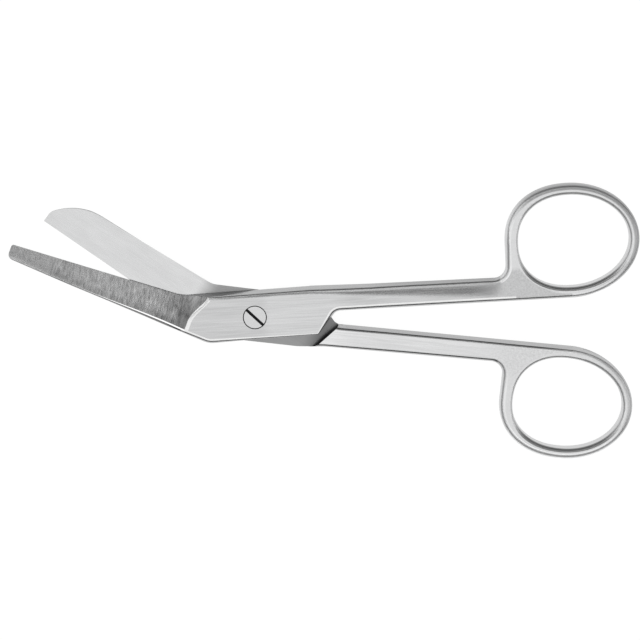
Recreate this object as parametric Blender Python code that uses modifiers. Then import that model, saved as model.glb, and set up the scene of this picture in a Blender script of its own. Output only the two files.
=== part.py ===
"""Angled episiotomy scissors, about 145 mm long, lying flat and slightly open.

X runs along the handles towards the finger rings, Y across them and Z up through the joint.
The origin is on the pivot axis, on the plane that the scissors lie on. Metres throughout.

Both halves are drawn alike: shank and ring on the +Y side, blade towards -X, lap at the
pivot facing down. The lower half is that drawing turned over about X, with a blade and waist
of its own and its ring bent a little further out.
"""

import math

import bmesh
import bpy
from mathutils import Matrix, Vector

MM = 0.001

# Thickness and how the halves lie
THICKNESS = 4.6 * MM
LAP_CLEARANCE = 0.2 * MM
UPPER_SWING = math.radians(3.24)
LOWER_SWING = math.radians(5.45)

# Box of the joint
OUTER_HALF_WIDTH = 6.0 * MM
LAP_END = 14.4 * MM
LAP_NOTCH = 18.75 * MM
STEP_SLOPE = math.radians(47.5)
STEP_CLEARANCE = 0.75 * MM
STEP_FILLET = 1.0 * MM
STEP_NOTCH_RADIUS = 2.0 * MM
STEP_CORNER_RADIUS = 0.6 * MM

# Shank
SHANK_START = 13.0 * MM
SHANK_TAPER = 0.25 * MM
SHANK_THICKNESS = 3.9 * MM
SHANK_EASE = 14.0 * MM
INNER_EDGE_AT_JOINT = 0.10 * MM
INNER_EDGE_AT_RING = 0.40 * MM
EDGE_ROUND = 0.42 * MM
CROWN_WIDTH = 3.1 * MM
CROWN_DEPTH = 0.42 * MM
CROWN_FADE = 9.0 * MM

# Finger ring
RING_THICKNESS = 4.3 * MM
RING_X = 72.87 * MM
HOLE_NEAR = 11.85 * MM
HOLE_FAR = 13.65 * MM
HOLE_HALF_WIDTH = 10.65 * MM
BAND = 2.45 * MM
BAND_AT_END = 2.25 * MM
BAND_AT_SHANK = 2.95 * MM
NEAR_POWER = 2.22
FAR_POWER = 2.0
RING_ROUND = 1.25 * MM
HOLE_ROUND = 0.95 * MM
ROOT_FILLET = 3.0 * MM

# What differs between the halves: blade, far side of the lap, waist of the shank, turn of the ring
UPPER_SHAPE = {
    "spine_corner": (-11.0 * MM, -5.65 * MM),
    "spine_angle": math.radians(26.6),
    "edge_corner": (-16.0 * MM, 5.45 * MM),
    "edge_angle": math.radians(20.4),
    "spine_radius": 5.0 * MM,
    "edge_radius": 10.0 * MM,
    "lap_far_side": -5.00 * MM,
    "waist_start": 13.0 * MM,
    "waist_length": 14.0 * MM,
    "waist": 0.30 * MM,
    "ring_turn": 0.0,
}
LOWER_SHAPE = {
    "spine_corner": (-10.5 * MM, -6.15 * MM),
    "spine_angle": math.radians(-26.84),
    "edge_corner": (-9.7 * MM, 5.64 * MM),
    "edge_angle": math.radians(-29.7),
    "spine_radius": 6.0 * MM,
    "edge_radius": 4.0 * MM,
    "lap_far_side": -5.80 * MM,
    "waist_start": 10.5 * MM,
    "waist_length": 6.0 * MM,
    "waist": 0.58 * MM,
    "ring_turn": math.radians(2.7),
}

# Blades, each with its reach from the pivot, its tip and its ground wedge
UPPER_REACH = 57.85 * MM
UPPER_TIP_RADIUS = 1.45 * MM
UPPER_TIP_CORNER = 0.5 * MM
LOWER_REACH = 52.3 * MM
LOWER_TIP_TRIM = 1.35 * MM
LOWER_NOSE_LENGTH = 1.1 * MM
LOWER_NOSE_SLOPE = math.radians(65.0)
LOWER_NOSE_ROUND = 3.5 * MM
LOWER_TIP_SLOPE = math.radians(21.0)
LOWER_TIP_ROUND = 17.0 * MM
SPINE_AT_HEEL = 1.75 * MM
SPINE_AT_TIP = 1.05 * MM
EDGE_THICKNESS = 0.28 * MM
SPINE_BEVEL = 0.40 * MM
SHOULDER_REACH = 14.15 * MM
SHOULDER_SWEEP = 2.7 * MM
SHOULDER_RADIUS = 1.4 * MM

# Pivot screw
HEAD_RADIUS = 2.65 * MM
HEAD_HEIGHT = 1.15 * MM
HEAD_BREAK = 0.12 * MM
STEM_RADIUS = 1.5 * MM
SCREW_CLEARANCE = 0.10 * MM
HEAD_CLEARANCE = 0.10 * MM
HEAD_SEAT = 0.20 * MM
HEAD_SINK = 0.03 * MM
SLOT_WIDTH = 0.66 * MM
SLOT_DEPTH = 0.65 * MM
SLOT_ANGLE = math.radians(-43.0)

MID = THICKNESS / 2
RING_Y = INNER_EDGE_AT_RING + BAND + HOLE_HALF_WIDTH
RING_WALL_X = RING_X - HOLE_NEAR - BAND_AT_SHANK
ARC_STEP = math.radians(9)
REACH_OUT = 20 * MM


def clear_scene():
    for obj in list(bpy.data.objects):
        bpy.data.objects.remove(obj, do_unlink=True)


def collection(name):
    made = bpy.data.collections.new(name)
    bpy.context.scene.collection.children.link(made)
    return made


def steel(name, colour, roughness):
    material = bpy.data.materials.new(name)
    material.use_nodes = True
    shader = material.node_tree.nodes["Principled BSDF"]
    shader.inputs["Base Color"].default_value = (*colour, 1.0)
    shader.inputs["Metallic"].default_value = 1.0
    shader.inputs["Roughness"].default_value = roughness
    material.diffuse_color = (*colour, 1.0)
    return material


def add_object(name, mesh, into, material=None):
    obj = bpy.data.objects.new(name, mesh)
    into.objects.link(obj)
    if material:
        mesh.materials.append(material)
    return obj


def cutter(name, bm, body, into):
    mesh = bpy.data.meshes.new(name)
    bmesh.ops.recalc_face_normals(bm, faces=bm.faces)
    bm.to_mesh(mesh)
    bm.free()
    obj = add_object(name, mesh, into)
    obj.parent = body
    obj.hide_render = True
    obj.display_type = "WIRE"
    return obj


def cut(body, tool):
    modifier = body.modifiers.new(tool.name, "BOOLEAN")
    modifier.operation = "DIFFERENCE"
    modifier.solver = "EXACT"
    modifier.object = tool


def loft(sections):
    """A closed solid skinned over loops of points that run counter-clockwise, lowest loop first."""
    bm = bmesh.new()
    rows = [[bm.verts.new(point) for point in section] for section in sections]
    bm.faces.new(reversed(rows[0]))
    for low, high in zip(rows, rows[1:]):
        for i in range(len(low)):
            j = (i + 1) % len(low)
            bm.faces.new((low[i], low[j], high[j], high[i]))
    bm.faces.new(rows[-1])
    return bm


def meet(point, angle, other, other_angle):
    """Where two lines in the plane cross, each given by a point on it and its direction."""
    along = Vector((math.cos(angle), math.sin(angle)))
    normal = Vector((-math.sin(other_angle), math.cos(other_angle)))
    travel = (Vector(other) - Vector(point)).dot(normal) / along.dot(normal)
    return Vector(point) + travel * along


def rounded(corners):
    """Outline points and rim radii of a closed polygon of (point, fillet radius, rim in, rim out).

    Two fillets that would meet on a side share its length in proportion.
    """
    count = len(corners)
    spots = [Vector(corner[0]) for corner in corners]
    sides = [spots[(i + 1) % count] - spots[i] for i in range(count)]
    turns = [sides[i - 1].angle(sides[i]) for i in range(count)]
    needs = [corner[1] * math.tan(turn / 2) for corner, turn in zip(corners, turns)]
    fits = [0.98 * sides[i].length / max(needs[i] + needs[(i + 1) % count], 1e-9)
            for i in range(count)]
    points, rims = [], []
    for i, (_, radius, rim_in, rim_out) in enumerate(corners):
        radius *= min(1.0, fits[i - 1], fits[i])
        turn, spot = turns[i], spots[i]
        if radius == 0 or turn < 1e-4:
            points.append(spot)
            rims.append(rim_in)
            continue
        before, after = -sides[i - 1].normalized(), sides[i].normalized()
        bisector = (before + after).normalized()
        centre = spot + bisector * radius / math.cos(turn / 2)
        start = spot + before * radius * math.tan(turn / 2)
        side = 1 if before.x * after.y - before.y * after.x < 0 else -1
        steps = max(2, math.ceil(turn / ARC_STEP))
        for k in range(steps + 1):
            share = k / steps
            arm = start - centre
            arm.rotate(Matrix.Rotation(side * turn * share, 2))
            points.append(centre + arm)
            rims.append(rim_in + (rim_out - rim_in) * share)
    return points, rims


def inward(points):
    """Unit normals into a counter-clockwise outline, lengthened at corners so that rims stay even."""
    normals = []
    for i, point in enumerate(points):
        back = (point - points[i - 1]).normalized()
        ahead = (points[(i + 1) % len(points)] - point).normalized()
        normal = Vector((-back.y - ahead.y, back.x + ahead.x)).normalized()
        normals.append(normal / max(0.5, normal.dot(Vector((-back.y, back.x)))))
    return normals


def oval(near, far, half_width, angle, turn):
    """Point of a turned, egg-shaped ring, flatter towards the shank, at an angle about its centre."""
    c, s = math.cos(angle), math.sin(angle)
    length, power = (far, FAR_POWER) if c >= 0 else (near, NEAR_POWER)
    arm = Vector((
        math.copysign(length * abs(c) ** (2 / power), c),
        math.copysign(half_width * abs(s) ** (2 / power), s),
    ))
    arm.rotate(Matrix.Rotation(turn, 2))
    return Vector((RING_X, RING_Y)) + arm


def handle_corners(shape):
    """Corners of lap, shank and ring, from the far side of the lap round to the outer side."""
    rim = EDGE_ROUND
    slope = STEP_SLOPE + math.radians(2)
    lap_corner = meet((LAP_NOTCH, INNER_EDGE_AT_JOINT), slope, (LAP_END, shape["lap_far_side"]), 0)
    corners = [
        (lap_corner, STEP_CORNER_RADIUS, rim, rim),
        ((LAP_NOTCH, INNER_EDGE_AT_JOINT), STEP_NOTCH_RADIUS, rim, rim),
    ]
    steps = 40
    for k in range(steps + 1):
        angle = math.radians(-90 + 270 * k / steps)
        grown = min(1.0, k / (steps * 0.22))
        ring_rim = rim + (RING_ROUND - rim) * grown * grown * (3 - 2 * grown)
        point = oval(HOLE_NEAR + BAND_AT_SHANK, HOLE_FAR + BAND_AT_END, HOLE_HALF_WIDTH + BAND,
                     angle, shape["ring_turn"])
        corners.append((point, 0, ring_rim, ring_rim))
    start, length = shape["waist_start"], shape["waist_length"]
    waist = OUTER_HALF_WIDTH - shape["waist"]
    corners.append(((RING_WALL_X, waist - SHANK_TAPER), ROOT_FILLET, RING_ROUND, rim))
    corners.append(((start + length, waist), 2 * length, rim, rim))
    corners.append(((start, OUTER_HALF_WIDTH), 2 * length, rim, rim))
    return corners


def blade_axes(shape):
    """Along-blade and across-blade directions, across pointing from spine to cutting edge."""
    angle = (shape["spine_angle"] + shape["edge_angle"]) / 2
    return Vector((-math.cos(angle), math.sin(angle))), Vector((math.sin(angle), math.cos(angle)))


def spine_and_edge(shape, reach):
    """Points of the spine line and the edge line at a distance from the pivot along the blade."""
    along, across = blade_axes(shape)
    square = math.atan2(across.y, across.x)
    at = along * reach
    spine = meet(at, square, shape["spine_corner"], math.pi - shape["spine_angle"])
    edge = meet(at, square, shape["edge_corner"], math.pi - shape["edge_angle"])
    return spine, edge


def upper_outline():
    small = EDGE_ROUND / 4
    spine, edge = spine_and_edge(UPPER_SHAPE, UPPER_REACH)
    return rounded([
        (spine, UPPER_TIP_RADIUS, small, small),
        (UPPER_SHAPE["spine_corner"], UPPER_SHAPE["spine_radius"], EDGE_ROUND, EDGE_ROUND),
        *handle_corners(UPPER_SHAPE),
        (UPPER_SHAPE["edge_corner"], UPPER_SHAPE["edge_radius"], EDGE_ROUND, small),
        (edge, UPPER_TIP_CORNER, small, small),
    ])


def lower_outline():
    small = EDGE_ROUND / 4
    along, across = blade_axes(LOWER_SHAPE)
    edge = spine_and_edge(LOWER_SHAPE, LOWER_REACH)[1]
    nose = edge - across * LOWER_TIP_TRIM - along * LOWER_TIP_TRIM * 0.07
    slope = Vector((math.cos(LOWER_NOSE_SLOPE), -math.sin(LOWER_NOSE_SLOPE)))
    bend = nose + slope * LOWER_NOSE_LENGTH
    hump = meet(bend, -LOWER_TIP_SLOPE, LOWER_SHAPE["spine_corner"],
                math.pi - LOWER_SHAPE["spine_angle"])
    return rounded([
        (hump, LOWER_TIP_ROUND, small, small),
        (LOWER_SHAPE["spine_corner"], LOWER_SHAPE["spine_radius"], EDGE_ROUND, EDGE_ROUND),
        *handle_corners(LOWER_SHAPE),
        (LOWER_SHAPE["edge_corner"], LOWER_SHAPE["edge_radius"], EDGE_ROUND, small),
        (edge, small * 1.6, small, small),
        (nose, small * 2, small, small),
        (bend, LOWER_NOSE_ROUND, small, small),
    ])


def ease(share):
    share = min(1.0, max(0.0, share))
    return share * share * (3 - 2 * share)


def thickness_at(x):
    """Full at the joint, drawn down along the shank, a little fuller again at the ring."""
    drawn = ease((x - SHANK_START - SHANK_EASE / 2) / SHANK_EASE)
    full = ease((x - RING_WALL_X + SHANK_EASE / 2) / SHANK_EASE)
    return (THICKNESS + (SHANK_THICKNESS - THICKNESS) * drawn
            + (RING_THICKNESS - SHANK_THICKNESS) * full)


def crown_at(shape, x, y):
    """How far the shank's face falls towards its outer side, more and more towards the ring."""
    start, end = -SHANK_START, RING_WALL_X + 1.0 * MM
    grown = ease((x - start) / (0.8 * (end - start)))
    faded = 1 - ease((x - end + CROWN_FADE) / CROWN_FADE)
    waist_end = shape["waist_start"] + shape["waist_length"]
    taper = min(1.0, max(0.0, (x - waist_end) / (RING_WALL_X - waist_end)))
    narrowed = ease((x - shape["waist_start"]) / shape["waist_length"])
    outer_side = OUTER_HALF_WIDTH - shape["waist"] * narrowed - SHANK_TAPER * taper
    share = 1 - (outer_side - y) / (CROWN_WIDTH * (0.35 + 0.65 * grown))
    depth = CROWN_DEPTH * (0.12 + 0.88 * grown) * faded * ease((x - start) / (8 * MM))
    return depth * min(1.0, max(0.0, share)) ** 2


def bisect(bm, spot, normal):
    bmesh.ops.bisect_plane(bm, geom=bm.verts[:] + bm.edges[:] + bm.faces[:], dist=0.001 * MM,
                           plane_co=spot, plane_no=normal)


def draw_down(bm, shape, crowned):
    """Works the flat blank to its thickness along the shank, and crowns its outer face."""
    for start in (SHANK_START + SHANK_EASE / 2, RING_WALL_X - SHANK_EASE / 2):
        for k in range(6):
            bisect(bm, (start + SHANK_EASE * k / 5, 0, 0), (1, 0, 0))
    if crowned:
        for k in range(6):
            bisect(bm, (0, OUTER_HALF_WIDTH - CROWN_WIDTH * (k + 0.7) / 6, 0), (0, 1, 0))
        for k in range(11):
            bisect(bm, (-SHANK_START + (RING_WALL_X + SHANK_START) * k / 11, 0, 0), (1, 0, 0))
    for vert in bm.verts:
        x, y, z = vert.co
        vert.co.z = MID + (z - MID) * thickness_at(x) / THICKNESS
        if crowned and z > MID:
            vert.co.z -= crown_at(shape, x, y)


def plate(points, rims, shape, crowned):
    """The forged blank: the outline through the full thickness, its rims rounded."""
    normals = inward(points)
    sections = []
    turns = [math.radians(a) for a in (0, 30, 60, 90)]
    for top, sweep in ((False, turns), (True, turns[::-1])):
        for a in sweep:
            section = []
            for point, normal, rim in zip(points, normals, rims):
                flat = point + normal * rim * (1 - math.sin(a))
                rise = rim * (1 - math.cos(a))
                section.append((flat.x, flat.y, THICKNESS - rise if top else rise))
            sections.append(section)
    bm = loft(sections)
    draw_down(bm, shape, crowned)
    return bm


def hole_cutter(turn):
    """The finger hole, flaring at both faces to round its rims."""
    steps = 56
    around = [math.radians(360 * k / steps) for k in range(steps)]
    face = MID - RING_THICKNESS / 2
    levels = [(1.0, -0.5 * MM)]
    levels += [(1 - math.sin(a), face + HOLE_ROUND * (1 - math.cos(a)))
               for a in (math.radians(d) for d in (16, 40, 65, 90))]
    levels += [(grow, THICKNESS - z) for grow, z in reversed(levels)]
    sections = []
    for grow, z in levels:
        flare = HOLE_ROUND * grow
        ring = [oval(HOLE_NEAR + flare, HOLE_FAR + flare, HOLE_HALF_WIDTH + flare, a, turn)
                for a in around]
        sections.append([(p.x, p.y, z) for p in ring])
    return loft(sections)


def lap_cutter():
    """Everything under the lap face, up to the filleted step wall that faces the other half."""
    wall = math.pi - STEP_SLOPE
    away = Vector((math.sin(STEP_SLOPE), math.cos(STEP_SLOPE)))
    span = UPPER_REACH + REACH_OUT
    lap = MID + LAP_CLEARANCE / 2
    levels = [(0.0, -THICKNESS)]
    levels += [(STEP_FILLET * (1 - math.cos(a)), lap - STEP_FILLET * (1 - math.sin(a)))
               for a in (math.radians(d) for d in (0, 20, 40, 65, 90))]
    sections = []
    for back, z in levels:
        foot = Vector((LAP_NOTCH + STEP_CLEARANCE, INNER_EDGE_AT_JOINT)) - away * back
        right = meet((0, -span), 0, foot, wall)
        left = meet((0, span), 0, foot, wall)
        loop = [right, left, Vector((-2 * span, span)), Vector((-2 * span, -span))]
        sections.append([(p.x, p.y, z) for p in loop])
    return loft(sections)


def grind_cutter(shape, reach):
    """What grinding takes off a blade's outer face, from the curved shoulder to past the tip."""
    along, across = blade_axes(shape)
    lap = MID + LAP_CLEARANCE / 2
    shares = (-0.5, 0.0, None, 0.3, 0.6, 0.85, 1.0, 1.5)
    turns = [math.radians(d) for d in (-20, 12, 35, 60, 90)]
    rows = [(SHOULDER_RADIUS * (1 - math.cos(a)), math.sin(a)) for a in turns]
    rows[0] = (-0.05 * MM, -0.3)
    length = reach - SHOULDER_REACH
    rows += [(SHOULDER_RADIUS + (length + REACH_OUT / 2 - SHOULDER_RADIUS) * k / 6, 1.0)
             for k in range(1, 7)]
    bm = bmesh.new()
    bmesh.ops.create_grid(bm, x_segments=len(rows) - 1, y_segments=len(shares) - 1, size=0.5)
    floor = sorted(bm.verts, key=lambda v: (round(v.co.x, 5), round(v.co.y, 5)))
    for n, vert in enumerate(floor):
        distance, depth = rows[n // len(shares)]
        share = shares[n % len(shares)]
        spine, edge = spine_and_edge(shape, SHOULDER_REACH + distance)
        width = (edge - spine).length
        if share is None:
            share = SPINE_BEVEL / width
        run = min(1.0, max(0.0, distance / length))
        spine_height = SPINE_AT_HEEL + (SPINE_AT_TIP - SPINE_AT_HEEL) * run
        level = min(1.0, max(0.0, share))
        height = spine_height + (EDGE_THICKNESS - spine_height) * level
        if share <= 0:
            height -= SPINE_BEVEL * 0.8
        ground = lap + height
        z = ground + (THICKNESS - ground) * (1 - depth)
        sweep = SHOULDER_SWEEP * ease((share * width - 3.0 * MM) / (8.0 * MM))
        fade = 1 - ease(distance / (length * 0.5))
        place = spine + (edge - spine) * share - along * sweep * fade
        vert.co = (place.x, place.y, z)
    lifted = bmesh.ops.extrude_face_region(bm, geom=bm.faces[:])["geom"]
    for vert in (g for g in lifted if isinstance(g, bmesh.types.BMVert)):
        vert.co.z = 2 * THICKNESS
    return bm


def drum(radius, low, high, segments=48):
    bm = bmesh.new()
    bmesh.ops.create_cone(
        bm, cap_ends=True, segments=segments, radius1=radius, radius2=radius, depth=high - low,
        matrix=Matrix.Translation((0, 0, (low + high) / 2)))
    return bm


def half(name, outline, shape, reach, turned_over, swing, head_side, material, into, tools):
    points, rims = outline
    bm = plate(points, rims, shape, head_side)
    mesh = bpy.data.meshes.new(name)
    bm.to_mesh(mesh)
    bm.free()
    body = add_object(name, mesh, into, material)
    forms = [
        ("lap", lap_cutter()),
        ("grind", grind_cutter(shape, reach)),
        ("finger_hole", hole_cutter(shape["ring_turn"])),
        ("bore", drum(STEM_RADIUS + SCREW_CLEARANCE, -THICKNESS, 2 * THICKNESS)),
    ]
    if head_side:
        floor = THICKNESS - HEAD_SINK - HEAD_HEIGHT - HEAD_SEAT
        forms.append(("head_seat", drum(HEAD_RADIUS + HEAD_CLEARANCE, floor, 2 * THICKNESS)))
    turn = Matrix.Identity(4)
    if turned_over:
        turn = Matrix.Translation((0, 0, THICKNESS)) @ Matrix.Rotation(math.pi, 4, "X")
        mesh.transform(turn)
    for label, form in forms:
        bmesh.ops.transform(form, matrix=turn, verts=form.verts)
        cut(body, cutter(name + "_" + label, form, body, tools))
    mesh.polygons.foreach_set("use_smooth", [True] * len(mesh.polygons))
    mesh.set_sharp_from_angle(angle=math.radians(40))
    body.rotation_euler.z = swing
    return body


def pivot_screw(material, into, tools):
    """Slotted screw: head flush in the upper half, stem through the lower, tail flush beneath."""
    top = THICKNESS - HEAD_SINK
    seat = top - HEAD_HEIGHT
    profile = [
        (0.0, top), (HEAD_RADIUS - HEAD_BREAK, top), (HEAD_RADIUS, top - HEAD_BREAK),
        (HEAD_RADIUS, seat), (STEM_RADIUS, seat), (STEM_RADIUS, HEAD_BREAK),
        (STEM_RADIUS - HEAD_BREAK, 0.0), (0.0, 0.0),
    ]
    outline = bpy.data.meshes.new("pivot_screw_profile")
    outline.from_pydata([(x, 0, z) for x, z in profile],
                        [(i, i + 1) for i in range(len(profile) - 1)], [])
    turned = add_object("pivot_screw_profile", outline, tools)
    spin = turned.modifiers.new("turned", "SCREW")
    spin.steps = spin.render_steps = 48
    spin.use_merge_vertices = True
    spin.merge_threshold = 0.00001
    graph = bpy.context.evaluated_depsgraph_get()
    mesh = bpy.data.meshes.new_from_object(turned.evaluated_get(graph))
    bpy.data.objects.remove(turned, do_unlink=True)
    bm = bmesh.new()
    bm.from_mesh(mesh)
    bmesh.ops.remove_doubles(bm, verts=bm.verts, dist=0.000001)
    bmesh.ops.dissolve_limit(bm, angle_limit=math.radians(1), verts=bm.verts, edges=bm.edges)
    bmesh.ops.recalc_face_normals(bm, faces=bm.faces)
    bm.to_mesh(mesh)
    bm.free()
    mesh.name = "pivot_screw"
    screw = add_object("pivot_screw", mesh, into, material)
    slot = bmesh.new()
    size = Matrix.Diagonal((4 * HEAD_RADIUS, SLOT_WIDTH, 2 * SLOT_DEPTH, 1))
    bmesh.ops.create_cube(slot, size=1, matrix=Matrix.Translation((0, 0, top)) @ size)
    cut(screw, cutter("pivot_screw_slot", slot, screw, tools))
    mesh.polygons.foreach_set("use_smooth", [True] * len(mesh.polygons))
    mesh.set_sharp_from_angle(angle=math.radians(40))
    screw.rotation_euler.z = SLOT_ANGLE
    return screw


def main():
    clear_scene()
    parts = collection("Episiotomy scissors")
    tools = collection("Cutters")
    satin = steel("Satin steel upper", (0.60, 0.61, 0.62), 0.32)
    satin_low = steel("Satin steel lower", (0.60, 0.61, 0.62), 0.34)
    turned = steel("Turned steel screw", (0.66, 0.67, 0.68), 0.24)
    half("upper_half", upper_outline(), UPPER_SHAPE, UPPER_REACH, False, UPPER_SWING, True,
         satin, parts, tools)
    half("lower_half", lower_outline(), LOWER_SHAPE, LOWER_REACH, True, -LOWER_SWING, False,
         satin_low, parts, tools)
    pivot_screw(turned, parts, tools)


main()
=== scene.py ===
"""Angled episiotomy scissors in satin steel, lying slightly open on a white table.

X runs along the handles towards the finger rings, Y across them and Z up through the joint.
Metres throughout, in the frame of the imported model. Both halves are drawn alike, with shank
and ring on the +Y side, blade towards -X and lap facing down, and the lower half is that
drawing turned over about X, with a blade and waist of its own and its ring bent a little
further out. Each is then swung about the pivot to where it rests.
"""

import math

import bmesh
import bpy
from bpy.props import FloatProperty, FloatVectorProperty, IntProperty, PointerProperty
from mathutils import Matrix, Vector


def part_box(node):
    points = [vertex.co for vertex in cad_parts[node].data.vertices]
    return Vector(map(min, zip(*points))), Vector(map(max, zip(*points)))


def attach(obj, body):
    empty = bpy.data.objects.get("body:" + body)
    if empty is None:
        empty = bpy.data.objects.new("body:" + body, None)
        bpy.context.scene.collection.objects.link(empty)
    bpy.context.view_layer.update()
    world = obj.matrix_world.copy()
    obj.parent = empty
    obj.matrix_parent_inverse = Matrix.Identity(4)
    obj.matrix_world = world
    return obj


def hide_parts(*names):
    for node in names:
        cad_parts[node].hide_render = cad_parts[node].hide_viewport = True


bl_info = {
    "name": "Episiotomy Scissors",
    "version": (1, 0, 0),
    "blender": (4, 5, 0),
    "location": "View3D > Sidebar > Scissors",
    "description": "Builds angled episiotomy scissors in satin steel and the white table they lie on",
    "category": "Add Mesh",
}

MM = 0.001
# Edges that turn by more than this stay sharp in the shading
SHARP_TURN = math.radians(32)

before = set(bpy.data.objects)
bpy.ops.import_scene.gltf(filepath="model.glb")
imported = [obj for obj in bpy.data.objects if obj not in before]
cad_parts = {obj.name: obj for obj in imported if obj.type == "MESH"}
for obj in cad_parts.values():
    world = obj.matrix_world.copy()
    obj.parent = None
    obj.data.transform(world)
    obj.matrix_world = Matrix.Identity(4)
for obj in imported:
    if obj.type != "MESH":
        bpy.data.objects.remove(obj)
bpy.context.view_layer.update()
CAD_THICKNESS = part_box("upper_half")[1].z

# Finishes, by their place in the material slots of each half
FLAT, SIDE, LAPPED, GROUND, RING, HOLE, STEP, POLISHED, BEVEL, SHADED = range(10)


def length(name, description, millimetres):
    return FloatProperty(name=name, description=description, default=millimetres * MM,
                         subtype="DISTANCE", unit="LENGTH", precision=5)


def angle(name, description, degrees):
    return FloatProperty(name=name, description=description, default=math.radians(degrees),
                         subtype="ANGLE", unit="ROTATION")


def place(name, description, millimetres):
    return FloatVectorProperty(name=name, description=description, size=len(millimetres),
                               default=[value * MM for value in millimetres],
                               subtype="XYZ_LENGTH" if len(millimetres) == 3 else "NONE",
                               unit="LENGTH", precision=5)


def share(name, description, value):
    return FloatProperty(name=name, description=description, default=value, min=0.0, max=1.0,
                         subtype="FACTOR")


def colour(name, description, rgb):
    return FloatVectorProperty(name=name, description=description, size=3, default=rgb,
                               min=0.0, max=1.0, subtype="COLOR")


def number(name, description, value):
    return FloatProperty(name=name, description=description, default=value, min=0.0)


def count(name, description, value):
    return IntProperty(name=name, description=description, default=value, min=1)


class BlankSizes(bpy.types.PropertyGroup):
    """The forged blank that both halves share, from the joint to the root of the ring."""

    thickness: FloatProperty(
        name="Thickness", description="Both laps together, at the joint", default=CAD_THICKNESS,
        subtype="DISTANCE", unit="LENGTH", precision=5)
    lap_clearance: length("Lap clearance", "Gap between the two lap faces", 0.2)
    upper_swing: angle("Upper swing", "Upper half's turn from closed to its resting place", 3.24)
    lower_swing: angle("Lower swing", "Lower half's turn from closed to its resting place", 5.45)
    outer_half_width: length("Outer half width", "Pivot to the outer side of the joint", 6.0)
    lap_end: length("Lap end", "Pivot to the inner corner of the lap", 14.4)
    lap_notch: length("Lap notch", "Pivot to the notch where the shank starts", 18.75)
    step_slope: angle("Step slope", "Slope of the diagonal step wall", 47.5)
    lap_lean: angle("Lap lean", "How much steeper the lap's end is than the step wall", 2.0)
    step_clearance: length("Step clearance", "Room between lap end and step wall", 0.75)
    step_fillet: length("Step fillet", "Fillet at the foot of the step wall", 1.0)
    step_break: length("Step break", "Broken edge along the top of the step wall", 0.14)
    notch_radius: length("Notch radius", "Round in the notch", 2.0)
    corner_radius: length("Corner radius", "Round on the corner of the lap", 0.6)
    shank_start: length("Shank start", "Where the shank starts to narrow", 13.0)
    shank_taper: length("Shank taper", "How much the shank narrows towards the ring", 0.25)
    shank_thickness: length("Shank thickness", "Thickness along the shank", 3.9)
    shank_ease: length("Shank ease", "Length over which thickness and width change", 14.0)
    inner_at_joint: length("Inner side at joint", "Shank's inner side from the middle line", 0.10)
    inner_at_ring: length("Inner side at ring", "Ring's inner side from the middle line", 0.40)
    edge_round: length("Edge round", "Round of the blank's edges", 0.42)
    thin_share: share("Thin share", "Share of the round on milled, ground edges", 0.25)
    side_draft: angle("Side draft", "Lean of the forged sides, widest at mid-thickness", 16.0)
    side_bulge: length("Side bulge", "How far the sides stand out at mid-thickness", 0.28)
    bulge_start: length("Bulge start", "Where the shank's inner side starts to bulge", 20.0)
    bulge_run: length("Bulge run", "Length over which the bulge grows", 16.0)
    soft_break: length("Soft break", "Width of the soft break inside the rim", 0.30)
    soft_drop: length("Soft drop", "How far the soft break falls", 0.03)
    crown_start: length("Crown start", "Where the outer strip of the shank starts to widen", 0.0)
    crown_width: length("Crown width", "Widest softly rounded strip by the outer side", 4.0)
    crown_depth: length("Crown depth", "How far the strip falls at the outer side", 0.92)
    crown_rise: length("Crown rise", "Length over which the strip begins at the joint", 8.0)
    crown_fade: length("Crown fade", "Length over which the strip dies out at the ring", 5.0)
    crown_overlap: length("Crown overlap", "How far the strip runs past the ring's wall", 1.0)
    crown_polish: length("Crown polish", "How far its polish passes the ring's root", 4.0)
    crown_least_width: share("Crown least width", "Share of the width at the strip's start", 0.30)
    crown_least_depth: share("Crown least depth", "Share of the depth at the strip's start", 0.16)
    crown_power: number("Crown power", "How round the strip is, 1 is a plain bevel", 1.5)


class RingSizes(bpy.types.PropertyGroup):
    """The oval finger ring."""

    thickness: length("Thickness", "Thickness of the ring", 4.3)
    centre_x: length("Centre", "Pivot to the centre of the ring along the shank", 72.87)
    near: length("Hole near", "Centre to the hole's end by the shank", 11.85)
    far: length("Hole far", "Centre to the hole's far end", 13.65)
    half_width: length("Hole half width", "Centre to the hole's sides", 10.65)
    band: length("Band", "Width of the ring's band", 2.45)
    band_at_end: length("Band at end", "Width of the band at the far end", 2.25)
    band_at_shank: length("Band at shank", "Width of the band beside the shank", 2.95)
    near_power: number("Near power", "Fullness of the oval's near end, 2 is elliptical", 2.22)
    far_power: number("Far power", "Fullness of the oval's far end, 2 is elliptical", 2.0)
    outer_round: length("Outer round", "Round of the ring's outer edges", 1.25)
    rim_growth: share("Rim growth", "Part of the way round over which the round grows", 0.22)
    hole_round: length("Hole round", "Round of the ring's inner edges", 0.95)
    root_fillet: length("Root fillet", "Fillet where ring and shank meet", 3.0)


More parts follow.
